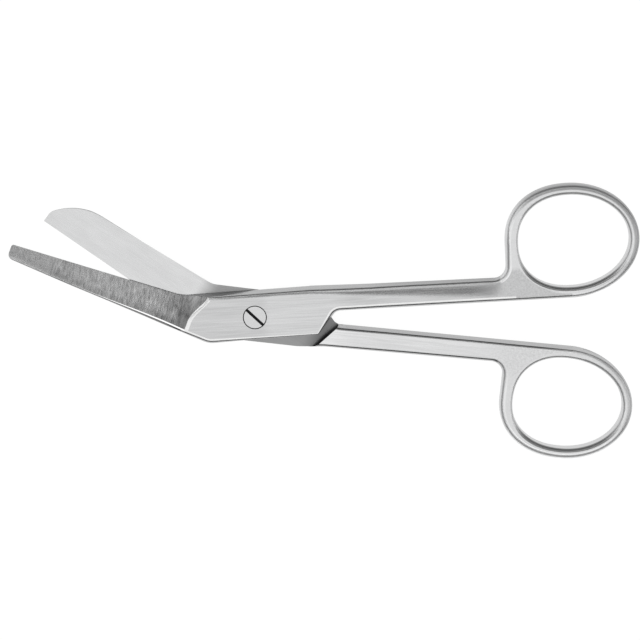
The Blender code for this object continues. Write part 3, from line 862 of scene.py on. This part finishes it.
def smoothed(body):
    """Soft shading over rounds, with flat faces kept flat and bevels crisp."""
    mesh = body.data
    mesh.polygons.foreach_set("use_smooth", [True] * len(mesh.polygons))
    mesh.set_sharp_from_angle(angle=SHARP_TURN)
    bevelled, others = set(), set()
    for face in mesh.polygons:
        (bevelled if face.material_index == BEVEL else others).update(face.edge_keys)
    for edge in mesh.edges:
        if edge.key in bevelled and edge.key in others:
            edge.use_edge_sharp = True
    weighted = body.modifiers.new("flat_faces", "WEIGHTED_NORMAL")
    weighted.keep_sharp = True
    settled(body)


def half(s, name, outline, shape, turned_over, swing):
    """One half of the scissors, cut from its blank, turned over if it is the lower one, and swung.

    The upper half has the crowned shank and the seat of the screw's head.
    """
    b, w, steps = s.blank, s.screw, s.fineness.drum_steps
    finishes = half_finishes(s, shape, turned_over, swing)
    body = solid(name, blank(s, shape, *outline, crowned=not turned_over), finishes)
    forms = [
        ("lap", lap_cutter(s)),
        ("grind", grind_cutter(s, shape)),
        ("finger_hole", hole_cutter(s, shape.ring_turn)),
        # Bore and head seat get the recess steel's painted shade
        ("bore", drum(w.stem_radius + w.stem_clearance, -b.thickness, 2 * b.thickness, steps,
                      SHADED)),
    ]
    if not turned_over:
        floor = b.thickness - w.head_sink - w.head_height - w.head_seat
        forms.append(("head_seat", drum(w.head_radius + w.head_clearance, floor, 2 * b.thickness,
                                        steps, SHADED)))
    tools = [cut(body, name + "_" + label, form, finishes) for label, form in forms]
    mesh = settled(body, tools)
    # The cut under the lap leaves the flat lap face and the steep wall of the step
    steep = 0.5
    for face in mesh.polygons:
        if face.material_index == LAPPED and abs(face.normal.z) < steep:
            face.material_index = STEP
    turn = Matrix.Rotation(swing, 4, "Z")
    if turned_over:
        turn = turn @ Matrix.Translation((0, 0, b.thickness)) @ Matrix.Rotation(math.pi, 4, "X")
    mesh.transform(turn)
    smoothed(body)
    return body


# Nodes

class Tree:
    """Short ways to build a node tree."""

    def __init__(self, tree):
        self.tree = tree

    def add(self, kind, inputs=None, **settings):
        """A node with its settings, fed with values or with other nodes' outputs."""
        node = self.tree.nodes.new(kind)
        for key, value in settings.items():
            setattr(node, key, value)
        for key, value in (inputs or {}).items():
            self.feed(node.inputs[key], value)
        return node

    def feed(self, socket, value):
        if isinstance(value, bpy.types.NodeSocket):
            self.tree.links.new(value, socket)
        else:
            socket.default_value = value

    def math(self, operation, *values):
        node = self.add("ShaderNodeMath", dict(enumerate(values)), operation=operation)
        return node.outputs[0]

    def total(self, first, *others):
        for other in others:
            first = self.math("ADD", first, other)
        return first

    def product(self, first, *others):
        for other in others:
            first = self.math("MULTIPLY", first, other)
        return first

    def vector(self, operation, *values):
        node = self.add("ShaderNodeVectorMath", dict(enumerate(values)), operation=operation)
        return node.outputs[0]

    def split(self, vector):
        """The three parts of a vector."""
        return self.add("ShaderNodeSeparateXYZ", {0: vector}).outputs

    def upright(self, height):
        """A vector that points up."""
        return self.add("ShaderNodeCombineXYZ", {"Z": height}).outputs[0]

    def distance(self, x, y):
        """How far a place in the plane lies from the middle."""
        return self.math("SQRT", self.total(self.product(x, x), self.product(y, y)))

    def facing_up(self):
        """How far the bare surface faces up, from -1 to 1."""
        return self.split(self.add("ShaderNodeTexCoord").outputs["Normal"])[2]

    def ramp(self, value, start, end):
        """0 up to where a value starts, 1 from where it ends, and smooth between."""
        node = self.add("ShaderNodeMapRange", {
            "Value": value, "From Min": start, "From Max": end}, interpolation_type="SMOOTHSTEP")
        return node.outputs["Result"]

    def blend(self, factor, low, high):
        """A mix of two numbers."""
        node = self.add("ShaderNodeMix", {0: factor, 2: low, 3: high}, data_type="FLOAT")
        return node.outputs[0]

    def tint(self, rgb, level):
        """A colour made lighter or darker by a level about 1."""
        grey = self.add("ShaderNodeCombineXYZ", {"X": level, "Y": level, "Z": level})
        return self.vector("MULTIPLY", tuple(rgb), grey.outputs[0])


def on_piece(t, turn, centre=(0.0, 0.0, 0.0)):
    """Object coordinates about a centre, turned so that X runs along a direction on the piece."""
    found = t.add("ShaderNodeTexCoord").outputs["Object"]
    moved = t.vector("SUBTRACT", found, tuple(centre))
    mapping = t.add("ShaderNodeMapping", {"Vector": moved, "Rotation": (0.0, 0.0, -turn)})
    return mapping.outputs[0]


def marks(t, where, long, wide, detail=3.0, shift=0.0):
    """Marks drawn out along X, of about that length and width in millimetres, from 0 to 1.

    The shift keeps marks of one finish from repeating each other.
    """
    scaled = t.vector("MULTIPLY", where, (1 / (long * MM), 1 / (wide * MM), 1 / (wide * MM)))
    moved = t.vector("ADD", scaled, (shift, shift * 0.7, shift * 1.3))
    noise = t.add("ShaderNodeTexNoise", {
        "Vector": moved, "Scale": 1.0, "Detail": detail, "Roughness": 0.62})
    return noise.outputs[0]


def about_zero(t, value, span):
    """Turns 0 to 1 into minus span to plus span."""
    return t.math("MULTIPLY_ADD", value, 2 * span, -span)


def steel(name, look):
    """A metal whose look is a function of its node tree.

    The look gives a colour, its level about 1, the roughness, and the height and depth of marks.
    """
    material = bpy.data.materials.new(name)
    material.use_nodes = True
    t = Tree(material.node_tree)
    shader = material.node_tree.nodes["Principled BSDF"]
    rgb, level, roughness, height, depth = look(t)
    t.feed(shader.inputs["Base Color"], t.tint(rgb, level))
    shader.inputs["Metallic"].default_value = 1.0
    t.feed(shader.inputs["Roughness"], roughness)
    bump = t.add("ShaderNodeBump", {"Height": height, "Strength": 1.0, "Distance": depth})
    t.feed(shader.inputs["Normal"], bump.outputs[0])
    material.diffuse_color = (*rgb, 1.0)
    return material


def brushed_flat(s, name, turn, rgb, light, side):
    """Flat faces: fine lengthwise brushing, then a matte blasted web and a polished ring crown with a
    painted highlight.
    """
    web, centre, hole = ring_wall_x(s), ring_centre(s), s.ring.half_width

    def look(t):
        where = on_piece(t, turn)
        fine = marks(t, where, 11.0, 0.30, detail=4.0)
        broad = marks(t, where, 24.0, 1.10, detail=2.0, shift=7.3)
        grit = marks(t, where, 0.36, 0.36, shift=3.1)
        x, y, _ = t.split(where)
        blasted = t.ramp(x, web - 9 * MM, web + 2 * MM)
        arm_x = t.product(t.math("SUBTRACT", x, centre.x), hole / s.ring.near)
        arm_y = t.math("SUBTRACT", t.product(y, side), centre.y)
        by_hole = t.ramp(t.distance(arm_x, arm_y), hole + 1.55 * MM, hole + 1.25 * MM)
        by_wall = t.product(t.ramp(x, web - 1.5 * MM, web - 0.5 * MM),
                            t.ramp(arm_y, -6.5 * MM, -5 * MM))
        # The crown is polished, with fewer specks, and lightened as a painted highlight
        crown = t.math("MAXIMUM", by_hole, by_wall)
        past_screw = t.product(t.ramp(x, 1 * MM, 4 * MM), t.ramp(x, 24 * MM, 17 * MM))
        lines = t.total(about_zero(t, fine, 0.26), about_zero(t, broad, 0.12))
        specks = t.product(about_zero(t, grit, 0.34), t.blend(crown, 1.0, 0.3))
        level = t.total(t.blend(blasted, lines, specks), t.blend(blasted, 1.0, 1.08),
                        t.product(crown, light), t.product(past_screw, 0.09))
        rough = t.total(t.blend(blasted, s.finish.flat_roughness, 0.40),
                        about_zero(t, fine, 0.06))
        return rgb, level, rough, t.blend(blasted, fine, grit), 0.006 * MM
    return steel(name, look)


def cross_ground(s, name, turn, reach, side):
    """Ground faces: streaks across the blade, painted shade by the shoulder and at its foot, and a
    smoother tip.
    """
    root, tip_start = -s.grind.shoulder_reach, s.finish.smooth_tip - reach

    def look(t):
        along = on_piece(t, turn)
        across = t.add("ShaderNodeMapping", {
            "Vector": along,
            "Rotation": (0.0, 0.0, math.pi / 2 - s.finish.streak_lean)}).outputs[0]
        streak = marks(t, across, 6.0, 0.40)
        thin = marks(t, across, 3.0, 0.20, detail=2.0, shift=5.7)
        bands = marks(t, across, 14.0, 2.2, detail=1.0, shift=2.9)
        scuff = marks(t, along, 2.5, 0.5, shift=9.1)
        x, y, _ = t.split(along)
        by_spine = t.ramp(t.product(y, side), 0.5 * MM, -4 * MM)
        # Painted shade at the shoulder's foot, deeper towards the spine
        foot = t.product(t.ramp(x, root - 3.6 * MM, root - 0.6 * MM),
                         t.blend(by_spine, 0.26, 0.56))
        deeper = t.ramp(x, root - 26 * MM, root)
        # Painted shade over the root of the blade
        shade = t.ramp(x, root - 9 * MM, root + 1 * MM)
        tip = t.ramp(x, tip_start + 0.25 * MM, tip_start - 0.25 * MM)
        lines = t.total(about_zero(t, streak, 0.62), about_zero(t, thin, 0.34),
                        about_zero(t, bands, 0.20))
        lines = t.product(lines, t.blend(deeper, 0.8, 1.25))
        smooth = t.total(about_zero(t, scuff, 0.12), 0.10)
        level = t.total(t.blend(tip, lines, smooth), t.blend(deeper, 1.0, 0.90))
        level = t.product(level, t.blend(shade, 1.0, 0.74), t.math("SUBTRACT", 1.0, foot))
        rough = t.total(s.finish.ground_roughness, about_zero(t, streak, 0.08))
        return s.finish.ground, level, rough, t.blend(tip, streak, scuff), 0.012 * MM
    return steel(name, look)


def lapped_face(s, name, turn, edge_line):
    """Inner faces: faint scratches and a honed band by the edge, rougher where the lap is milled,
    with painted shade there and more towards the step wall.
    """
    def look(t):
        where = on_piece(t, turn)
        haze = marks(t, where, 9.0, 2.4)
        fine = marks(t, where, 7.0, 0.22, shift=4.4)
        scratch = t.ramp(marks(t, where, 5.5, 0.15, detail=2.0, shift=8.8), 0.68, 0.80)
        x, y, _ = t.split(where)
        honed = t.ramp(y, edge_line - 2.6 * MM, edge_line - 2.3 * MM)
        away = t.add("ShaderNodeVectorMath", {0: where}, operation="LENGTH").outputs["Value"]
        # Where the lap is milled it is rougher, which is real, and darker, which is painted shade; by
        # the step wall it gets more painted shade
        milled = t.ramp(x, -15 * MM, -10 * MM)
        step_shade = t.product(milled, t.ramp(away, 12 * MM, 16 * MM))
        level = t.total(1.0, about_zero(t, haze, 0.11), about_zero(t, fine, 0.11),
                        t.product(scratch, -0.16), t.product(honed, 0.03))
        level = t.product(level, t.blend(milled, 1.0, 0.55), t.blend(step_shade, 1.0, 0.60))
        rough = t.total(t.blend(milled, s.finish.lapped_roughness, 0.42),
                        about_zero(t, fine, 0.04))
        return s.finish.lapped, level, rough, fine, 0.003 * MM
    return steel(name, look)


def drawn_side(s, name, turn, rgb, roughness, shade_on_blade=1.0, rim=0.0):
    """Sides: a belt finish that runs with the length, and painted shade on the blade and round the
    rims.
    """
    def look(t):
        where = on_piece(t, turn)
        fine = marks(t, where, 5.0, 0.10)
        soft = marks(t, where, 6.0, 1.4, detail=2.0, shift=6.2)
        x, up = t.split(where)[0], t.facing_up()
        # The sides along the blade get painted shade
        blade = t.ramp(x, -s.blank.shank_start + 3 * MM, -s.blank.shank_start - 7 * MM)
        # Painted shade on the rounded rims, where the faces lean between steep and flat
        band = t.product(t.ramp(up, 0.33, 0.50), t.ramp(up, 0.99, 0.93),
                         t.ramp(x, s.ring.centre_x, s.ring.centre_x - 7 * MM),
                         t.blend(blade, rim, 0.0))
        level = t.total(1.0, about_zero(t, fine, 0.08), about_zero(t, soft, 0.06))
        level = t.product(level, t.blend(blade, 1.0, shade_on_blade), t.math("SUBTRACT", 1.0, band))
        rough = t.total(roughness, about_zero(t, fine, 0.05))
        return rgb, level, rough, fine, 0.004 * MM
    return steel(name, look)


def polished_ring(s, name, centre, rgb, painted_light_by_shank, front_light_and_shade):
    """Finger ring: polished, with faint marks that run round it.

    Beside the shank the rim gets painted light, and where it faces up on the side towards -Y it gets
    painted light on the ring and painted shade in the hole, each by a share of its colour.
    """
    mean_radius = 13 * MM

    def look(t):
        x, y, z = t.split(on_piece(t, 0.0, centre))
        turn = t.math("ABSOLUTE", t.math("ARCTAN2", y, x))
        flat = t.distance(x, y)
        round_it = t.add("ShaderNodeCombineXYZ", {
            "X": t.product(turn, mean_radius), "Y": flat, "Z": z}).outputs[0]
        fine = marks(t, round_it, 6.0, 0.10)
        soft = marks(t, round_it, 7.0, 1.2, detail=2.0, shift=2.2)
        # Painted light beside the shank; towards -Y, painted light on a ring and painted shade in a
        # hole
        near = t.ramp(turn, math.radians(125), math.radians(165))
        painted_front = t.product(t.ramp(t.math("DIVIDE", y, flat), -0.25, -0.75),
                          t.ramp(t.facing_up(), 0.15, 0.40))
        level = t.total(1.0, about_zero(t, fine, 0.07), about_zero(t, soft, 0.06),
                        t.product(near, painted_light_by_shank), t.product(painted_front, front_light_and_shade))
        rough = t.total(s.finish.ring_roughness, about_zero(t, fine, 0.05))
        return rgb, level, rough, fine, 0.003 * MM
    return steel(name, look)


def faced_screw(s):
    """Screw head: faced with the joint, fine turning marks under the lengthwise brushing."""
    turning_pitch = 0.11 * MM

    def look(t):
        where = on_piece(t, s.blank.upper_swing)
        x, y, _ = t.split(where)
        rings = t.math("SINE", t.product(t.distance(x, y), 2 * math.pi / turning_pitch))
        fine = marks(t, where, 6.0, 0.18, shift=1.9)
        level = t.total(1.0, t.product(rings, 0.03), about_zero(t, fine, 0.10))
        rough = t.total(s.finish.screw_roughness, about_zero(t, fine, 0.05))
        return s.finish.screw, level, rough, fine, 0.004 * MM
    return steel("faced_screw", look)


def shaded_recess(s):
    """Sawn and bored surfaces darkened with painted shade, one steel for all pieces."""
    def look(t):
        fine = marks(t, on_piece(t, s.screw.slot_angle), 1.5, 0.12)
        level = t.total(1.0, about_zero(t, fine, 0.35))
        rough = t.total(s.finish.recess_roughness, about_zero(t, fine, 0.1))
        return s.finish.shaded, level, rough, fine, 0.006 * MM
    return bpy.data.materials.get("shaded_recess") or steel("shaded_recess", look)


def half_finishes(s, shape, turned_over, swing):
    """The finishes of one half, in the order of their slots."""
    f = s.finish
    # The halves differ in the crown's painted highlight, the rims' painted shade and the ring's
    # painted light by the shank
    if turned_over:
        half_name, side, flat, crown, rim = "lower", -1, f.lower_flat, f.lower_crown, f.lower_rim
        ring, painted_light_by_shank = f.lower_ring, f.lower_by_shank
    else:
        half_name, side, flat, crown, rim = "upper", 1, f.upper_flat, f.upper_crown, f.upper_rim
        ring, painted_light_by_shank = f.upper_ring, f.upper_by_shank
    along = swing - side * (shape.spine_angle + shape.edge_angle) / 2
    x, y = ring_centre(s)
    ring_middle = Matrix.Rotation(swing, 3, "Z") @ Vector((x, side * y, 0.0))
    _, across = blade_axes(shape)
    _, edge = spine_and_edge(shape, shape.reach / 2)
    edge_line = abs(across.dot(edge))
    return [
        brushed_flat(s, half_name + "_flat", swing, flat, crown, side),
        drawn_side(s, half_name + "_side", swing, f.side, f.side_roughness, f.side_on_blade, rim),
        lapped_face(s, half_name + "_lapped", along, edge_line),
        cross_ground(s, half_name + "_ground", along, shape.reach, side),
        polished_ring(s, half_name + "_ring", ring_middle, ring, painted_light_by_shank, f.ring_in_front),
        polished_ring(s, half_name + "_hole", ring_middle, f.hole, 0.0, -f.hole_in_front),
        # The step wall's near-black colour is painted shade
        drawn_side(s, half_name + "_step", swing + math.pi / 2, f.step, f.step_roughness),
        # Polished, and lighter than steel as a painted highlight
        drawn_side(s, half_name + "_polished", along, f.polished, f.polished_roughness),
        drawn_side(s, half_name + "_bevel", along, f.bevel, f.bevel_roughness),
        shaded_recess(s),
    ]


# Screw

def screw_tree(turned, sawn):
    """Geometry nodes of a turned and slotted screw that stands on its tail."""
    group = bpy.data.node_groups.new("turned_screw", "GeometryNodeTree")
    kinds = dict.fromkeys(("Top", "Head Radius", "Head Height", "Edge Break", "Stem Radius",
                           "Slot Width", "Slot Depth", "Slot Angle"), "NodeSocketFloat")
    kinds["Steps"] = "NodeSocketInt"
    inputs = {name: group.interface.new_socket(name, in_out="INPUT", socket_type=kind).identifier
              for name, kind in kinds.items()}
    group.interface.new_socket("Geometry", in_out="OUTPUT", socket_type="NodeSocketGeometry")
    t = Tree(group)
    given = t.add("NodeGroupInput").outputs

    def placed(form, way, vector):
        return t.add("GeometryNodeTransform", {"Geometry": form, way: vector}).outputs[0]

    def stack(bottom, top, low_radius, high_radius):
        """A turned length between two heights, tapered if its radii differ."""
        cone = t.add("GeometryNodeMeshCone", {
            "Vertices": given["Steps"], "Radius Top": high_radius, "Radius Bottom": low_radius,
            "Depth": t.math("SUBTRACT", top, bottom)}, fill_type="NGON")
        return placed(cone.outputs[0], "Translation", t.upright(bottom))

    top, broken, slot_depth = given["Top"], given["Edge Break"], given["Slot Depth"]
    stem, head = given["Stem Radius"], given["Head Radius"]
    seat = t.math("SUBTRACT", top, given["Head Height"])
    shoulder = t.math("SUBTRACT", top, broken)
    lengths = [
        stack(0.0, broken, t.math("SUBTRACT", stem, broken), stem),
        stack(broken, t.total(seat, broken), stem, stem),
        stack(seat, shoulder, head, head),
        stack(shoulder, top, head, t.math("SUBTRACT", head, broken)),
    ]
    joined = t.add("GeometryNodeMeshBoolean", operation="UNION", solver="EXACT")
    for piece in lengths:
        group.links.new(piece, joined.inputs["Mesh 2"])
    # The sawn bar is centred on the top, so it is twice as deep as the slot
    bar = t.add("GeometryNodeMeshCube", {
        "Size": t.add("ShaderNodeCombineXYZ", {
            "X": t.product(head, 4.0), "Y": given["Slot Width"],
            "Z": t.product(slot_depth, 2.0)}).outputs[0]})
    slotted = t.add("GeometryNodeMeshBoolean", {
        "Mesh 1": joined.outputs[0],
        "Mesh 2": placed(bar.outputs[0], "Translation", t.upright(top))},
        operation="DIFFERENCE", solver="EXACT")
    # Faces whose middle lies in the slot, with a little to spare, are the sawn ones
    spare, skin = 1.02, 0.02 * MM
    _, y, z = t.split(t.add("GeometryNodeInputPosition").outputs[0])
    between = t.math("LESS_THAN", t.math("ABSOLUTE", y),
                     t.product(given["Slot Width"], 0.502))
    below = t.math("LESS_THAN", z, t.math("SUBTRACT", top, skin))
    above = t.math("GREATER_THAN", z, t.math("SUBTRACT", top, t.product(slot_depth, spare)))
    marked = t.add("GeometryNodeStoreNamedAttribute", {
        "Geometry": slotted.outputs[0], "Name": "sawn", "Value": t.product(between, below, above)},
        data_type="FLOAT", domain="FACE")
    swung = placed(marked.outputs[0], "Rotation", t.upright(given["Slot Angle"]))
    real = t.add("GeometryNodeRealizeInstances", {0: swung})
    finished = t.add("GeometryNodeSetMaterial", {
        "Geometry": real.outputs[0], "Material": turned})
    is_sawn = t.add("GeometryNodeInputNamedAttribute", {"Name": "sawn"}, data_type="FLOAT")
    # The slot gets the recess steel's painted shade
    dark = t.add("GeometryNodeSetMaterial", {
        "Geometry": finished.outputs[0], "Material": sawn,
        "Selection": t.math("GREATER_THAN", is_sawn.outputs[0], 0.5)})
    t.add("NodeGroupOutput", {0: dark.outputs[0]})
    return group, inputs


# Stage

def table_glow(t, st):
    """How bright the table is to the camera and in reflections. Other rays see it unlit."""
    path = t.add("ShaderNodeLightPath").outputs
    mirrored = t.math("MAXIMUM", path["Is Glossy Ray"], path["Is Transmission Ray"])
    return t.math("MAXIMUM", t.product(path["Is Camera Ray"], st.table_level),
                  t.product(mirrored, st.mirrored_level))


def table_top(st):
    """A white table that shows white and keeps a trace of the shadow."""
    half_side = st.floor_size / 2
    mesh = bpy.data.meshes.new("table_top")
    mesh.from_pydata([(x * half_side, y * half_side, -st.table_drop)
                      for x, y in ((-1, -1), (1, -1), (1, 1), (-1, 1))], [], [(0, 1, 2, 3)])
    table = bpy.data.objects.new("table_top", mesh)
    bpy.context.scene.collection.objects.link(table)
    material = bpy.data.materials.new("white_table")
    material.use_nodes = True
    material.node_tree.nodes.clear()
    t = Tree(material.node_tree)
    glow = t.add("ShaderNodeEmission", {"Color": (1, 1, 1, 1), "Strength": table_glow(t, st)})
    grey = (st.table_shade,) * 3
    matte = t.add("ShaderNodeBsdfDiffuse", {"Color": (*grey, 1)})
    both = t.add("ShaderNodeAddShader", {0: glow.outputs[0], 1: matte.outputs[0]})
    t.add("ShaderNodeOutputMaterial", {"Surface": both.outputs[0]})
    mesh.materials.append(material)


def room(scene, st):
    """An even grey room that the camera sees as white."""
    world = bpy.data.worlds.new("room")
    world.use_nodes = True
    world.node_tree.nodes.clear()
    t = Tree(world.node_tree)
    seen = t.add("ShaderNodeLightPath").outputs["Is Camera Ray"]
    level = t.blend(seen, st.room_level, 1.0)
    glow = t.add("ShaderNodeBackground", {"Color": (1, 1, 1, 1), "Strength": level})
    t.add("ShaderNodeOutputWorld", {"Surface": glow.outputs[0]})
    scene.world = world


def light_panel(scene, name, spot, size, level, aimed=True):
    """A soft panel, aimed at the scissors or else straight down, that the camera can't see."""
    lamp = bpy.data.lights.new(name, "AREA")
    lamp.shape = "RECTANGLE"
    lamp.size, lamp.size_y = size
    lamp.energy = level * math.pi * lamp.size * lamp.size_y
    panel = bpy.data.objects.new(name, lamp)
    panel.location = spot
    if aimed:
        panel.rotation_euler = (-Vector(spot)).to_track_quat("-Z", "Y").to_euler()
    panel.visible_camera = False
    scene.collection.objects.link(panel)


def camera(scene, st):
    """The photograph's view: nearly from above, leaning towards the upper side."""
    data = bpy.data.cameras.new("camera")
    data.lens = st.camera_lens
    data.sensor_width = 36
    data.clip_start, data.clip_end = 0.01, 20
    eye = bpy.data.objects.new("camera", data)
    lean = Vector((0, math.sin(st.camera_tilt), math.cos(st.camera_tilt)))
    eye.location = Vector(st.target) + lean * st.camera_distance
    eye.rotation_euler = (-st.camera_tilt, 0, 0)
    scene.collection.objects.link(eye)
    scene.camera = eye


# Operators

def settings(context):
    return context.scene.scissors


class SCISSORS_OT_upper_half(bpy.types.Operator):
    """Build the half with the slim blunt blade, which lies on top"""

    bl_idname = "scissors.upper_half"
    bl_label = "Upper Half"

    def execute(self, context):
        s = settings(context)
        piece = half(s, "upper_scissor_half", upper_outline(s), s.upper_shape,
                     turned_over=False, swing=s.blank.upper_swing)
        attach(piece, "upper")
        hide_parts("upper_half")
        return {"FINISHED"}


class SCISSORS_OT_lower_half(bpy.types.Operator):
    """Build the half with the broad rounded blade, which lies beneath"""

    bl_idname = "scissors.lower_half"
    bl_label = "Lower Half"

    def execute(self, context):
        s = settings(context)
        piece = half(s, "lower_scissor_half", lower_outline(s), s.lower_shape,
                     turned_over=True, swing=-s.blank.lower_swing)
        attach(piece, "lower")
        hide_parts("lower_half")
        return {"FINISHED"}


class SCISSORS_OT_pivot_screw(bpy.types.Operator):
    """Build the slotted screw that both halves turn on"""

    bl_idname = "scissors.pivot_screw"
    bl_label = "Pivot Screw"

    def execute(self, context):
        s = settings(context)
        w = s.screw
        group, inputs = screw_tree(faced_screw(s), shaded_recess(s))
        piece = bpy.data.objects.new("slotted_pivot_screw", bpy.data.meshes.new("screw"))
        context.scene.collection.objects.link(piece)
        nodes = piece.modifiers.new("turned_screw", "NODES")
        nodes.node_group = group
        sizes = {
            "Top": s.blank.thickness - w.head_sink, "Head Radius": w.head_radius,
            "Head Height": w.head_height, "Edge Break": w.edge_break,
            "Stem Radius": w.stem_radius, "Slot Width": w.slot_width,
            "Slot Depth": w.slot_depth, "Slot Angle": w.slot_angle,
            "Steps": s.fineness.drum_steps,
        }
        for name, value in sizes.items():
            nodes[inputs[name]] = value
        settled(piece)
        smoothed(piece)
        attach(piece, "lower")
        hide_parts("pivot_screw")
        return {"FINISHED"}


class SCISSORS_OT_stage(bpy.types.Operator):
    """Set the white table, the light panels and the camera"""

    bl_idname = "scissors.stage"
    bl_label = "Table, Light and Camera"

    def execute(self, context):
        st = settings(context).stage
        scene = context.scene
        table_top(st)
        room(scene, st)
        light_panel(scene, "overhead_panel", st.panel_place, st.panel_size, st.panel_level,
                    aimed=False)
        light_panel(scene, "back_panel", st.back_place, st.back_size, st.back_level)
        light_panel(scene, "left_panel", st.left_place, st.left_size, st.left_level)
        light_panel(scene, "right_panel", st.right_place, st.right_size, st.right_level)
        camera(scene, st)
        scene.view_settings.view_transform = "Standard"
        return {"FINISHED"}


class SCISSORS_PT_panel(bpy.types.Panel):
    """The scissors' pieces, sizes and finishes"""

    bl_label = "Episiotomy Scissors"
    bl_idname = "SCISSORS_PT_panel"
    bl_space_type = "VIEW_3D"
    bl_region_type = "UI"
    bl_category = "Scissors"

    def draw(self, context):
        for operator in OPERATORS:
            self.layout.operator(operator.bl_idname)
        for group in settings(context).bl_rna.properties:
            if group.type != "POINTER" or group.identifier == "rna_type":
                continue
            box = self.layout.box()
            box.label(text=group.identifier.replace("_", " ").capitalize())
            owner = getattr(settings(context), group.identifier)
            for item in owner.bl_rna.properties:
                if item.identifier not in ("rna_type", "name"):
                    box.prop(owner, item.identifier)


OPERATORS = (SCISSORS_OT_stage, SCISSORS_OT_lower_half, SCISSORS_OT_upper_half,
             SCISSORS_OT_pivot_screw)
CLASSES = (BlankSizes, RingSizes, UpperShape, LowerShape, GrindSizes, ScrewSizes,
           Fineness, SteelFinish, StageSizes, ScissorsSettings, *OPERATORS, SCISSORS_PT_panel)


def register():
    for made in CLASSES:
        bpy.utils.register_class(made)
    bpy.types.Scene.scissors = PointerProperty(type=ScissorsSettings)


def unregister():
    del bpy.types.Scene.scissors
    for made in reversed(CLASSES):
        bpy.utils.unregister_class(made)


def clear_scene():
    """Removes the startup scene's own objects and leaves the frame."""
    for name in ("Cube", "Light", "Camera"):
        if name in bpy.data.objects:
            bpy.data.objects.remove(bpy.data.objects[name], do_unlink=True)


def main():
    register()
    clear_scene()
    bpy.ops.scissors.stage()
    bpy.ops.scissors.lower_half()
    bpy.ops.scissors.upper_half()
    bpy.ops.scissors.pivot_screw()


if __name__ == "__main__":
    main()
